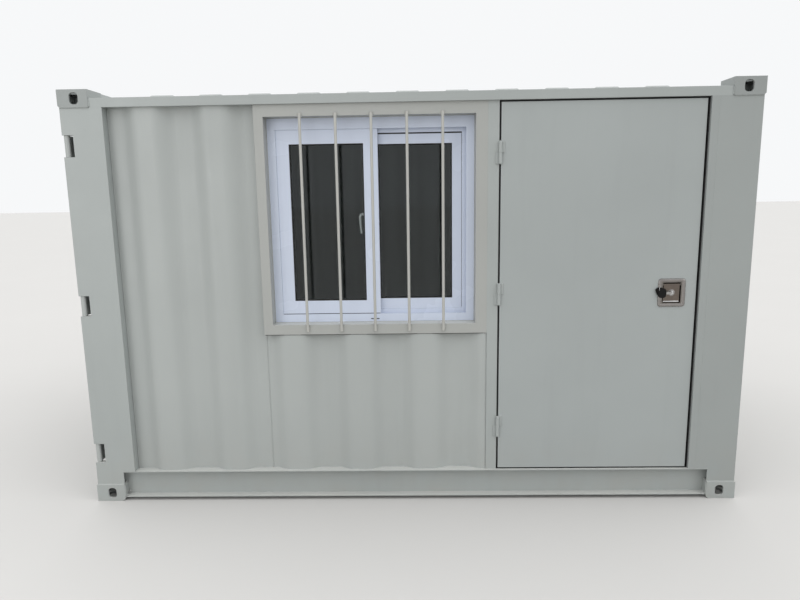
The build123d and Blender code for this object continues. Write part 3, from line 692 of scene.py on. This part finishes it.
def weld_bead_tree():
    tree, given = new_tree("rippled_weld_bead", Radius=0.003, Ripple=0.012)
    half = arithmetic("MULTIPLY", given["Ripple"], 0.5)
    fine = add_node(tree, "GeometryNodeResampleCurve", {"mode": "LENGTH"}, Curve=given["Geometry"],
                    Length=half)
    odd = arithmetic("MODULO", add_node(tree, "GeometryNodeInputIndex"), 2.0)
    ring = add_node(tree, "GeometryNodeCurvePrimitiveCircle", Resolution=6, Radius=given["Radius"])
    bead = add_node(tree, "GeometryNodeCurveToMesh", Curve=fine, Profile_Curve=ring,
                    Scale=spread(odd, 0.0, 1.0, 0.84, 1.0), Fill_Caps=True)
    close_tree(tree, bead, given["Finish"])
    return tree


def bolt_tree():
    tree, given = new_tree("bolt_heads", Sides=6, Radius=0.006, Height=0.003, Washer=0.009,
                           Washer_Height=0.001, Turn=(0.0, 0.0, 0.0))
    head = add_node(tree, "GeometryNodeMeshCylinder", Vertices=given["Sides"], Radius=given["Radius"],
                    Depth=given["Height"])
    washer = add_node(tree, "GeometryNodeMeshCylinder", Vertices=16, Radius=given["Washer"],
                      Depth=given["Washer Height"])
    head_level = arithmetic("ADD", given["Washer Height"], arithmetic("MULTIPLY", given["Height"], 0.5))
    washer_level = arithmetic("MULTIPLY", given["Washer Height"], 0.5)
    joined = add_node(tree, "GeometryNodeJoinGeometry")
    for part, level in ((head, head_level), (washer, washer_level)):
        raised = add_node(tree, "GeometryNodeTransform", Geometry=part, Translation=combined(tree, z=level))
        set_inputs(joined, Geometry=raised)
    turned = add_node(tree, "GeometryNodeTransform", Geometry=joined, Rotation=given["Turn"])
    points = add_node(tree, "GeometryNodeMeshToPoints", Mesh=given["Geometry"])
    heads = add_node(tree, "GeometryNodeInstanceOnPoints", Points=points, Instance=turned)
    close_tree(tree, heads, given["Finish"])
    return tree


def weld_piece(name, runs, radius, finish, body="cabin"):
    """Makes a weld bead along each run of places."""
    curve = bpy.data.curves.new(name, "CURVE")
    curve.dimensions = "3D"
    for run in runs:
        spline = curve.splines.new("POLY")
        spline.points.add(len(run) - 1)
        for point, place in zip(spline.points, run):
            point.co = (*place, 1.0)
    tree = bpy.data.node_groups.get("rippled_weld_bead") or weld_bead_tree()
    ripple = bpy.context.scene.cabin_weld.ripple
    return grown_piece(name, tree, curve, finish, 60.0, body, Radius=radius, Ripple=ripple)


def bolt_piece(name, places, turn, finish, **sizes):
    """Makes a bolt or screw head with a washer at each place."""
    mesh = bpy.data.meshes.new(name)
    mesh.from_pydata([tuple(place) for place in places], [], [])
    tree = bpy.data.node_groups.get("bolt_heads") or bolt_tree()
    return grown_piece(name, tree, mesh, finish, 30.0, Turn=turn, **sizes)


# Rays that find the surface of a CAD node


def sheet_surface(node, start, direction):
    hit, place, _normal, _index = frame["nodes"][node].ray_cast(Vector(start), Vector(direction))
    if not hit:
        raise RuntimeError(f"no surface of {node} ahead of {tuple(start)}")
    return place


def sheet_run(node, starts, direction, level):
    """A weld run that follows a corrugated sheet at one level."""
    places = [sheet_surface(node, start, direction) for start in starts]
    return [(place.x, place.y, level) for place in places]


def steps_between(start, end, pitch):
    count = max(2, int(abs(end - start) / pitch) + 1)
    return [start + (end - start) * i / (count - 1) for i in range(count)]


# Operators, one for each piece or group of like pieces


class CABIN_OT_coat_frame(bpy.types.Operator):
    """Gives every CAD node its procedural finish"""
    bl_idname = "cabin.coat_frame"
    bl_label = "Coat Frame"

    def execute(self, context):
        finishes = {name: finish for finish, names in COATED.items() for name in names}
        for name, node in frame["nodes"].items():
            node.data.materials.clear()
            node.data.materials.append(finish_named(finishes.get(name, "frame_coat")))
        return {"FINISHED"}


class CABIN_OT_window_bars(bpy.types.Operator):
    """Makes the round bars in front of the window, and the welds at their ends"""
    bl_idname = "cabin.window_bars"
    bl_label = "Window Bars"

    def execute(self, context):
        s = context.scene.cabin_window
        clearance = 0.0002
        first = surround[0].x + s.first_bar
        foot = surround[0].z + s.bar_foot
        head = surround[1].z - s.bar_head
        grown_piece("window_bars", window_bar_tree(), bpy.data.meshes.new("window_bars"), "bar_coat", 50.0,
                    Bars=s.bars, Pitch=s.bar_pitch, First=first, Foot=foot, Head=head,
                    Depth=face - s.bar_radius - s.bar_joggle - clearance, Radius=s.bar_radius,
                    Joggle=s.bar_joggle, Bend_Start=0.030, Bend_End=0.062)
        weld_length = 0.024
        weld_radius = 0.0042
        aside = s.bar_radius * 0.75
        y = face - 0.0022
        runs = []
        for i in range(s.bars):
            x = first + i * s.bar_pitch
            for z0, z1 in ((foot, foot + weld_length), (head - weld_length, head)):
                runs += [[(x + side, y, z0), (x + side, y, z1)] for side in (-aside, aside)]
        weld_piece("window_bar_welds", runs, weld_radius, "bar_coat")
        return {"FINISHED"}


class CABIN_OT_glazing_gaskets(bpy.types.Operator):
    """Makes the black gaskets round both panes, outside and inside"""
    bl_idname = "cabin.glazing_gaskets"
    bl_label = "Glazing Gaskets"

    def execute(self, context):
        width = context.scene.cabin_window.gasket_width
        half_glass = 0.003
        lap = 0.0003
        shape = bmesh.new()
        for sash, node in ((front_sash, "window_sash_left"), (rear_sash, "window_sash_right")):
            middle = (sash[0] + sash[1]) / 2
            opening = self.clear_opening(node, middle)
            for side, skin in ((-1, sash[0].y), (1, sash[1].y)):
                glass = middle.y + side * half_glass
                lip = skin - side * 0.0006
                profile = [(-lap, glass), (width, glass), (width - 0.0012, glass + side * 0.0022),
                           (0.0024, lip), (-lap, lip)]
                add_moulding(shape, opening, 0.0, profile)
        solid_piece("window_gaskets", shape, "seal_rubber", crease=25.0)
        return {"FINISHED"}

    def clear_opening(self, node, middle):
        """The opening of a sash, found by rays that start in front of its glass."""
        start = middle - Vector((0.0, 0.008, 0.0))
        rays = ((-1, 0, 0), (1, 0, 0), (0, 0, -1), (0, 0, 1))
        left, right, low, high = (sheet_surface(node, start, ray) for ray in rays)
        return (left.x, right.x, low.z, high.z)


class CABIN_OT_window_fittings(bpy.types.Operator):
    """Makes the window's drain slots, brush strips and sealant, and the gasket under its surround; the
    brush strips and the gasket are also painted shade lines
    """
    bl_idname = "cabin.window_fittings"
    bl_label = "Window Fittings"

    def execute(self, context):
        self.make_drain_slots()
        self.make_brush_and_shade_strips()
        low, high = window
        corners = ((low.x, low.z), (high.x, low.z), (high.x, high.z), (low.x, high.z), (low.x, low.z))
        bead = 0.0018
        weld_piece("window_sealant", [[(x, low.y, z) for x, z in corners]], bead, "surround_coat")
        self.make_surround_shadow_gasket()
        return {"FINISHED"}

    def make_drain_slots(self):
        middles = (-0.204, -0.173)
        half_width, corner = 0.0075, 0.0024
        low, high = 0.9985, 1.0035
        shape = bmesh.new()
        for x in middles:
            slot = rounded_loop(x - half_width, x + half_width, low, high, corner)
            add_plate(shape, slot, window[0].y - 0.0008, window[0].y + 0.0004, edge=0.0003)
        solid_piece("window_drain_slots", shape, "seal_rubber")

    def make_brush_and_shade_strips(self):
        """Black strips in the sash recesses: brush strips, and painted shade lines where the recess lies in
        shade. The strips lap a little into the frame, whose edges are found by rays.
        """
        lap = 0.001
        start = (front_sash[0] + front_sash[1]) / 2
        start.y = window[0].y + 0.002
        lip = sheet_surface("window_frame", start, (0, 0, -1)).z
        start = (rear_sash[0] + rear_sash[1]) / 2
        start.y = rear_sash[0].y - 0.003
        web = sheet_surface("window_frame", start, (0, 0, 1)).z
        side = sheet_surface("window_frame", start, (1, 0, 0)).x
        # The black strips are painted shade lines as well as brush strips.
        lower = (front_sash[0].x + 0.009, front_sash[1].x - 0.002, lip - lap, lip + 0.0030)
        upper = (front_sash[1].x + lap, side + lap, web - 0.0070, web + lap)
        upright = (side - 0.0016, side + lap, rear_sash[0].z + 0.030, web - 0.0072)
        shape = bmesh.new()
        for box, skin in ((lower, front_sash[0].y), (upper, rear_sash[0].y), (upright, rear_sash[0].y)):
            add_plate(shape, rounded_loop(*box, 0.0), skin - 0.0007, skin + 0.004, edge=0.0002)
        solid_piece("window_brush_and_shade_strips", shape, "seal_rubber")

    def make_surround_shadow_gasket(self):
        # A black strip under the surround's lower edge: painted shadow, shaped as a gasket.
        low, high = surround
        margin = 0.004
        shape = bmesh.new()
        under = rounded_loop(low.x + margin, high.x - margin, low.z - 0.0035, low.z + 0.0005, 0.0)
        add_plate(shape, under, low.y + 0.0035, low.y + 0.020, edge=0.0003)
        solid_piece("surround_shadow_gasket", shape, "seal_rubber")


class CABIN_OT_window_handle(bpy.types.Operator):
    """Makes the handle inside the right sash: a back plate with a lever that bends down"""
    bl_idname = "cabin.window_handle"
    bl_label = "Window Handle"

    def execute(self, context):
        low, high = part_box("window_handle")
        half_plate = 0.015
        skin = low.y
        reach = skin + 0.027
        stile = high.x - half_plate
        grip = low.x + 0.012
        level = high.z - 0.010
        shape = bmesh.new()
        plate = rounded_loop(stile - half_plate, stile + half_plate, level - 0.046, high.z, 0.008)
        add_plate(shape, plate, skin, skin + 0.008, edge=0.0015)
        neck = [((stile, skin + 0.004, level), 0.009), ((stile, skin + 0.018, level), 0.009),
                ((stile - 0.005, reach - 0.002, level), 0.009), ((stile - 0.014, reach, level), 0.0088)]
        bend = [((grip + 0.012, reach, level), 0.0085), ((grip + 0.004, reach, level - 0.004), 0.0083),
                ((grip, reach, level - 0.012), 0.0080), ((grip + 0.001, reach, level - 0.045), 0.0065)]
        end = [((grip + 0.004, reach - 0.002, level - 0.078), 0.0060),
               ((grip + 0.006, reach - 0.004, low.z + 0.004), 0.0062),
               ((grip + 0.006, reach - 0.004, low.z), 0.0040)]
        add_rod(shape, neck + bend + end)
        lever = solid_piece("window_lever", shape, "handle_enamel", crease=50.0)
        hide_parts("window_handle")
        return {"FINISHED"}


class CABIN_OT_door_seals(bpy.types.Operator):
    """Makes the black rubber that lines the front door opening; it is also painted shade that makes the
    door gap dark
    """
    bl_idname = "cabin.door_seals"
    bl_label = "Door Seals"

    def execute(self, context):
        thick = context.scene.cabin_seals.door_seal_and_gap_shade
        front = face + 0.003
        stop = leaf[1].y + 0.007
        foot = stop - 0.0032
        back = stop - 0.0001
        lip_width = 0.0175
        opening = (leaf[0].x - 0.010, leaf[1].x + 0.014, front_sill[1].z, front_rail[0].z)
        profile = [(0.0, front), (thick - 0.001, front), (thick, front + 0.001), (thick, foot),
                   (lip_width - 0.0015, foot), (lip_width, stop - 0.002), (lip_width, back), (0.0, back)]
        shape = bmesh.new()
        # Black rubber lining the gap: a seal, and painted shade in the gap.
        add_moulding(shape, opening, 0.0, profile)
        solid_piece("door_seal_and_gap_shade", shape, "seal_rubber", crease=25.0)
        return {"FINISHED"}


class CABIN_OT_hinge_details(bpy.types.Operator):
    """Makes the domed caps and the welds of the front door hinges"""
    bl_idname = "cabin.hinge_details"
    bl_label = "Hinge Details"

    def execute(self, context):
        half = 0.055
        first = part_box("door_hinges_frame_side")[0].z + half
        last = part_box("door_hinges_leaf_side")[1].z - half
        levels = (first, (first + last) / 2, last)
        self.make_half("cabin", -1, levels, half, "frame_coat", "frame_side")
        self.make_half("front_door", 1, levels, half, "door_coat", "leaf_side")
        return {"FINISHED"}

    def make_half(self, body, sign, levels, half, finish, side):
        """The frame's half is the lower one, welded left of the axis, and the leaf's half is the other."""
        hinge = frame["joints"][0]["pos_m"]
        dome = ((0.0, -0.0004), (0.008, -0.0002), (0.0072, 0.0012), (0.00495, 0.0026), (0.0, 0.0031))
        weld_radius = 0.0024
        y = face - 0.0006
        inner = hinge[0] + sign * 0.006
        outer = hinge[0] + sign * 0.023
        shape = bmesh.new()
        runs = []
        for level in levels:
            end = level + sign * half
            cap = [(radius, end + sign * rise) for radius, rise in dome]
            add_turned(shape, hinge, cap, facing_up, 20)
            low, high = sorted((level + sign * 0.0008, end))
            runs.append([(outer, y, low), (outer, y, high)])
            runs.append([(inner, y, end), (outer, y, end)])
        caps = f"hinge_caps_{side}"
        solid_piece(caps, shape, finish, body)
        weld_piece(f"hinge_welds_{side}", runs, weld_radius, finish, body)


class CABIN_OT_latch_details(bpy.types.Operator):
    """Makes the domed rim, the lock rosette and the rolled lip of the paddle latch"""
    bl_idname = "cabin.latch_details"
    bl_label = "Latch Details"

    def execute(self, context):
        self.make_rim()
        self.make_rosette()
        self.make_lip()
        return {"FINISHED"}

    def make_rim(self):
        """A point of the dome is an inset from the dish's edge and a height over its face."""
        dome = ((0.0002, -0.0012), (0.0008, 0.0006), (0.0030, 0.0020), (0.0070, 0.0030),
                (0.0110, 0.0030), (0.0150, 0.0020), (0.0172, 0.0006), (0.0178, -0.0012))
        low, high = latch
        corner = 0.016
        shape = bmesh.new()
        profile = [(inset, low.y - rise) for inset, rise in dome]
        add_moulding(shape, (low.x, high.x, low.z, high.z), corner, profile)
        solid_piece("latch_rim", shape, "rim_chrome", "front_door", crease=40.0)

    def make_rosette(self):
        ring = ((0.0112, 0.0), (0.0175, 0.0), (0.0172, 0.0012), (0.0150, 0.0022), (0.0122, 0.0018),
                (0.0112, 0.0008))
        skin = paddle[0].y + 0.0002
        centre = (lock[0] + lock[1]) / 2
        shape = bmesh.new()
        profile = [(radius, skin - rise) for radius, rise in ring]
        add_turned(shape, (centre.x, centre.z), profile, facing_front, 32)
        solid_piece("lock_rosette", shape, "rim_chrome", "paddle", 30.0)

    def make_lip(self):
        inset = 0.0022
        y, z = paddle[0].y + inset, paddle[0].z + inset
        left, right = paddle[0].x, paddle[1].x
        shape = bmesh.new()
        add_rod(shape, [((left + 0.0008, y, z), 0.0026), ((left + inset, y, z), 0.0034),
                        ((right - inset, y, z), 0.0034), ((right - 0.0008, y, z), 0.0026)], 10)
        solid_piece("paddle_lip", shape, "chrome", "paddle", 40.0)


class CABIN_OT_spare_key(bpy.types.Operator):
    """Makes the second key and the split ring that hang from the key in the lock"""
    bl_idname = "cabin.spare_key"
    bl_label = "Spare Key"

    def execute(self, context):
        middle = (key[0] + key[1]) / 2
        near, far = key[1].y + 0.0006, key[1].y + 0.0036
        turn = Matrix.Rotation(math.radians(24), 2)
        centre = Vector((key[0].x + 0.006, middle.z + 0.008))
        bow = rounded_loop(-0.016, 0.016, -0.021, 0.021, 0.011)
        blade = ((-0.0035, -0.036), (0.0035, -0.038), (0.0035, -0.019), (-0.0035, -0.019))
        shape = bmesh.new()
        add_plate(shape, [tuple(centre + turn @ Vector(point)) for point in bow], near, far)
        solid_piece("spare_key_bow", shape, "bow_plastic", "paddle")
        thinner = 0.0008
        shape = bmesh.new()
        outline = [tuple(centre + turn @ Vector(point)) for point in blade]
        add_plate(shape, outline, near + thinner, far - thinner, edge=0.0003)
        hub = Vector((key[0].x + 0.012, middle.y + 0.0015, key[1].z - 0.003))
        ring_radius = 0.0105
        wire_radius = 0.0007
        for degrees in (32, 36):
            tilt = Matrix.Rotation(math.radians(degrees), 3, "Z")
            add_ring(shape, hub, ring_radius, wire_radius, tilt)
        solid_piece("key_ring", shape, "chrome", "paddle", merge=0.000001)
        return {"FINISHED"}


class CABIN_OT_frame_welds(bpy.types.Operator):
    """Makes the fillet welds between castings, posts and rails"""
    bl_idname = "cabin.frame_welds"
    bl_label = "Frame Welds"

    def execute(self, context):
        runs = []
        for sx in (1, -1):
            for sy in (1, -1):
                for at_left_end, run in self.front_left_runs():
                    if at_left_end or sx < 0:
                        runs.append([(sx * x, sy * y, z) for x, y, z in run])
        weld_piece("frame_welds", runs, context.scene.cabin_weld.bead_radius, "frame_coat")
        return {"FINISHED"}

    def front_left_runs(self):
        """Runs at the front left corner, to be mirrored, each with True if the left end has it too."""
        lap, sink, proud = 0.004, 0.0005, 0.0012
        runs = []
        for level in (low_casting[1].z, high_casting[0].z):
            x, y = post[0].x, post[0].y
            end = min(post[1].x, low_casting[1].x)
            runs.append((True, [(x + lap, y + sink, level), (end, y + sink, level)]))
            runs.append((False, [(x + sink, y + lap, level), (x + sink, post[1].y, level)]))
        x, y = low_casting[1].x + proud, front_sill[0].y - 0.0003
        runs.append((True, [(x, y, front_sill[0].z + 0.003), (x, y, low_casting[1].z - lap)]))
        x, y = high_casting[1].x + proud, front_rail[0].y - 0.0003
        runs.append((True, [(x, y, front_rail[0].z + 0.003), (x, y, front_rail[1].z - 0.002)]))
        top = front_rail[1].z + 0.0008
        runs.append((True, [(x, front_rail[0].y + lap, top), (x, roof[0].y, top)]))
        return runs


class CABIN_OT_earthing_stud(bpy.types.Operator):
    """Makes the earthing stud at the left end of the front bottom rail"""
    bl_idname = "cabin.earthing_stud"
    bl_label = "Earthing Stud"

    def execute(self, context):
        x, z = low_casting[1].x + 0.004, 0.034
        web = sheet_surface("bottom_rail_front", (x, cad_low.y - 0.1, z), (0, 1, 0)).y
        turn = (math.radians(90), 0.0, 0.0)
        bolt_piece("earthing_stud", [(x, web, z)], turn, "zinc", Sides=6, Radius=0.0075, Height=0.014,
                   Washer=0.011, Washer_Height=0.003)
        return {"FINISHED"}


# The axis along each wall (0 is x), where rays start outside it, and their direction
WALLS = {
    "front_wall_left": (0, cad_low.y - 0.1, (0, 1, 0)),
    "front_wall_under_window": (0, cad_low.y - 0.1, (0, 1, 0)),
    "back_wall": (0, cad_high.y + 0.1, (0, -1, 0)),
    "right_wall": (1, cad_high.x + 0.1, (-1, 0, 0)),
}


class CABIN_OT_sheet_seams(bpy.types.Operator):
    """Makes the thin welds along the corrugated walls and the roof"""
    bl_idname = "cabin.sheet_seams"
    bl_label = "Sheet Seams"

    def execute(self, context):
        radius = context.scene.cabin_weld.seam_radius
        weld_piece("sheet_seams", self.wall_runs(), radius, "sheet_coat")
        weld_piece("roof_seams", self.roof_runs(), radius, "sheet_coat")
        return {"FINISHED"}

    def wall_runs(self):
        low, high, low_top = front_sill[1].z, front_rail[0].z, low_wall[1].z
        left, under = "front_wall_left", "front_wall_under_window"
        runs = [self.edge_run(left, low), self.edge_run(left, high),
                self.edge_run(under, low), self.edge_run(under, low_top),
                self.upright_run(left, left_wall[0].x + 0.0012, 1.0, low, high)]
        for level in (low, high):
            runs += [self.edge_run("back_wall", level), self.edge_run("right_wall", level)]
        for x in (surround[0].x + 0.0035, surround[1].x - 0.003):
            runs.append(self.upright_run(under, x, 0.5, low, low_top))
        return runs

    def edge_run(self, node, level):
        """Rays from outside find the sheet a little inside its lower or upper edge."""
        axis, away, inward = WALLS[node]
        low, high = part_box(node)
        margin, inside, pitch = 0.002, 0.004, 0.012
        probe = level + math.copysign(inside, (low.z + high.z) / 2 - level)
        starts = []
        for along in steps_between(low[axis] + margin, high[axis] - margin, pitch):
            place = [away, away, probe]
            place[axis] = along
            starts.append(place)
        return sheet_run(node, starts, inward, level)

    def upright_run(self, node, x, probe, low, high):
        _axis, away, inward = WALLS[node]
        y = sheet_surface(node, (x, away, probe), inward).y
        return [(x, y, low), (x, y, high)]

    def roof_runs(self):
        """Two seams between the roof's sheets, and its edges along both rails and the right end."""
        seam_x, margin, gap = 0.630, 0.012, 0.006
        ridge, level = roof[0].z + 0.0022, roof[0].z + 0.0006
        runs = [[(x, roof[0].y + margin, ridge), (x, roof[1].y - margin, ridge)] for x in (-seam_x, seam_x)]
        x, y = high_casting[1].x + gap, high_casting[1].y + gap
        for edge in (roof[0].y, -roof[0].y):
            runs.append([(x, edge, level), (-x, edge, level)])
        runs.append([(roof[1].x, y, level), (roof[1].x, -y, level)])
        return runs


class CABIN_OT_end_door_hardware(bpy.types.Operator):
    """Makes the seals, hinge bolts and handle catches of the end doors"""
    bl_idname = "cabin.end_door_hardware"
    bl_label = "End Door Hardware"

    def execute(self, context):
        skin = cad_low.x + 0.028
        self.make_seals(skin, context.scene.cabin_seals.end_seal)
        self.make_bolts(skin)
        self.make_catches(skin)
        return {"FINISHED"}

    def make_seals(self, skin, width):
        outer, inner, back = 0.94, 0.005, skin + 0.034
        profile = [(0.0, skin + 0.004), (-width, skin + 0.005), (-width, back), (0.0, back)]
        shape = bmesh.new()
        for y0, y1 in ((-outer, -inner), (inner, outer)):
            add_moulding(shape, (y0, y1, leaf[0].z, leaf[1].z), 0.0, profile, facing_end)
        solid_piece("end_door_seals", shape, "seal_rubber", crease=25.0)

    def make_bolts(self, skin):
        blade = skin - 0.0081
        levels = (0.279, 1.1015, 1.924)
        distances = (0.925, 0.895, 0.865)
        places = [(blade, side * y, level) for level in levels for side in (-1, 1) for y in distances]
        turn = (0.0, math.radians(-90), 0.0)
        bolt_piece("end_hinge_bolts", places, turn, "frame_coat", Sides=6, Radius=0.0075, Height=0.0045,
                   Washer=0.011, Washer_Height=0.0014)

    def make_catches(self, skin):
        """A deep block under each handle's grip and a flat one over it."""
        middle, half_width, grip, corner, edge = 0.4725, 0.024, 1.060, 0.004, 0.001
        shape = bmesh.new()
        for y in (middle, -middle):
            for low, high, reach in ((-0.028, -0.002, 0.021), (0.036, 0.052, 0.006)):
                loop = rounded_loop(y - half_width, y + half_width, grip + low, grip + high, corner, 3)
                add_plate(shape, loop, skin - reach, skin + 0.002, facing_end, edge)
        solid_piece("handle_catches", shape, "zinc")


class CABIN_OT_floor_screws(bpy.types.Operator):
    """Makes the rows of screws that hold the floor board to its cross members"""
    bl_idname = "cabin.floor_screws"
    bl_label = "Floor Screws"

    def execute(self, context):
        low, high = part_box("floor_cross_members")
        count, width, margin, pitch = 10, 0.045, 0.05, 0.2
        level = floor_board[1].z - 0.0006
        ys = steps_between(floor_board[0].y + margin, floor_board[1].y - margin, pitch)
        spacing = (high.x - width - low.x) / (count - 1)
        places = [(low.x + i * spacing + width / 2, y, level) for i in range(count) for y in ys]
        bolt_piece("floor_screws", places, (0.0, 0.0, 0.0), "zinc", Sides=12, Radius=0.0035,
                   Height=0.0004, Washer=0.0055, Washer_Height=0.001)
        return {"FINISHED"}


class CABIN_OT_stage(bpy.types.Operator):
    """Makes the floor, the plain light and the camera"""
    bl_idname = "cabin.stage"
    bl_label = "Stage"

    def execute(self, context):
        s = context.scene.cabin_stage
        self.make_floor(s)
        self.make_sky(context, s)
        self.add_lamp("side_lamp", "SUN", (6.0, -2.2, 3.8), energy=s.side_strength, angle=math.radians(70))
        self.add_lamp("front_lamp", "AREA", (-4.0, -6.5, 2.2), energy=s.front_strength, size=3.0)
        self.make_camera(context, s)
        context.scene.view_settings.view_transform = "Standard"
        return {"FINISHED"}

    def add_lamp(self, name, kind, place, **settings):
        lamp = bpy.data.lights.new(name, kind)
        for label, value in settings.items():
            setattr(lamp, label, value)
        holder = bpy.data.objects.new(name, lamp)
        holder.location = place
        cabin_middle = Vector((0.0, 0.0, 1.1))
        ahead = cabin_middle - Vector(place)
        holder.rotation_euler = ahead.to_track_quat("-Z", "Y").to_euler()
        bpy.context.scene.collection.objects.link(holder)

    def make_floor(self, s):
        reach = 60.0
        shape = bmesh.new()
        corners = ((-reach, -reach), (reach, -reach), (reach, reach), (-reach, reach))
        shape.faces.new([shape.verts.new((x, y, 0.0)) for x, y in corners])
        mesh = mesh_from("stage_floor", shape)
        finish, shader, place = new_finish()
        finish.name = "stage_floor"
        soft = noise(place, 0.8, 3.0, 0.5)
        pale = blend(soft, shade(s.floor_colour, 0.985), shade(s.floor_colour, 1.015))
        tone = blend(self.seen_directly(finish.node_tree), s.floor_return, pale)
        set_inputs(shader, Base_Color=tone, Roughness=0.9, Specular_IOR_Level=0.1)
        mesh.materials.append(finish)
        floor = bpy.data.objects.new("stage_floor", mesh)
        bpy.context.scene.collection.objects.link(floor)

    def seen_directly(self, tree):
        """1 where the camera looks, also by way of metal or glass, and 0 for light on the cabin."""
        path = tree.nodes.new("ShaderNodeLightPath").outputs
        seen = arithmetic("MAXIMUM", path["Is Camera Ray"], path["Is Glossy Ray"])
        return arithmetic("MAXIMUM", seen, path["Is Transmission Ray"])

    def make_sky(self, context, s):
        sky = bpy.data.worlds.new("plain_sky")
        sky.use_nodes = True
        tree = sky.node_tree
        tree.nodes.clear()
        height = parts(add_node(tree, "ShaderNodeTexCoord").outputs["Generated"])["Z"]
        strength = spread(height, 0.0, 1.0, s.horizon_strength, s.zenith_strength)
        plain = add_node(tree, "ShaderNodeBackground", Color=(1.0, 1.0, 1.0, 1.0), Strength=strength)
        white = add_node(tree, "ShaderNodeBackground", Color=(0.93, 0.94, 0.95, 1.0), Strength=1.0)
        both = mixed_shaders(self.seen_directly(tree), plain, white)
        add_node(tree, "ShaderNodeOutputWorld", Surface=both)
        context.scene.world = sky

    def make_camera(self, context, s):
        """The place and the turns were fitted to the straight edges in the photo."""
        yaw, pitch, roll = (math.radians(degrees) for degrees in (-1.337, 9.851, 0.908))
        place = (0.0236, -4.3426, 1.6795)
        ahead = Vector((math.sin(yaw) * math.cos(pitch), math.cos(yaw) * math.cos(pitch), -math.sin(pitch)))
        level = Vector((math.cos(yaw), -math.sin(yaw), 0.0))
        down = ahead.cross(level)
        across = math.cos(roll) * level + math.sin(roll) * down
        under = -math.sin(roll) * level + math.cos(roll) * down
        camera = bpy.data.cameras.new("camera")
        camera.lens = s.lens
        camera.sensor_width = 36.0
        holder = bpy.data.objects.new("camera", camera)
        turn = Matrix((across, -under, -ahead)).transposed().to_4x4()
        holder.matrix_world = Matrix.Translation(place) @ turn
        context.scene.collection.objects.link(holder)
        context.scene.camera = holder


class CABIN_PT_pieces(bpy.types.Panel):
    """Lists the settings and the makers of the cabin's pieces"""
    bl_idname = "CABIN_PT_pieces"
    bl_label = "Container Cabin"
    bl_space_type = "VIEW_3D"
    bl_region_type = "UI"
    bl_category = "Cabin"

    def draw(self, context):
        for name, group in SETTINGS.items():
            box = self.layout.box()
            for label in group.__annotations__:
                box.prop(getattr(context.scene, name), label)
        for operator in PIECES:
            self.layout.operator(operator.bl_idname)


SETTINGS = {
    "cabin_paint": PaintSettings,
    "cabin_window": WindowSettings,
    "cabin_weld": WeldSettings,
    "cabin_seals": SealSettings,
    "cabin_stage": StageSettings,
}

PIECES = (
    CABIN_OT_coat_frame,
    CABIN_OT_window_bars,
    CABIN_OT_glazing_gaskets,
    CABIN_OT_window_fittings,
    CABIN_OT_window_handle,
    CABIN_OT_door_seals,
    CABIN_OT_hinge_details,
    CABIN_OT_latch_details,
    CABIN_OT_spare_key,
    CABIN_OT_frame_welds,
    CABIN_OT_earthing_stud,
    CABIN_OT_sheet_seams,
    CABIN_OT_end_door_hardware,
    CABIN_OT_floor_screws,
    CABIN_OT_stage,
)


def register():
    for name, group in SETTINGS.items():
        bpy.utils.register_class(group)
        setattr(bpy.types.Scene, name, PointerProperty(type=group))
    for shown in (*PIECES, CABIN_PT_pieces):
        bpy.utils.register_class(shown)


def unregister():
    for shown in (CABIN_PT_pieces, *reversed(PIECES)):
        bpy.utils.unregister_class(shown)
    for name, group in SETTINGS.items():
        delattr(bpy.types.Scene, name)
        bpy.utils.unregister_class(group)


def main():
    register()
    bpy.ops.cabin.coat_frame()
    bpy.ops.cabin.window_bars()
    bpy.ops.cabin.glazing_gaskets()
    bpy.ops.cabin.window_fittings()
    bpy.ops.cabin.window_handle()
    bpy.ops.cabin.door_seals()
    bpy.ops.cabin.hinge_details()
    bpy.ops.cabin.latch_details()
    bpy.ops.cabin.spare_key()
    bpy.ops.cabin.frame_welds()
    bpy.ops.cabin.earthing_stud()
    bpy.ops.cabin.sheet_seams()
    bpy.ops.cabin.end_door_hardware()
    bpy.ops.cabin.floor_screws()
    bpy.ops.cabin.stage()


if __name__ == "__main__":
    main()
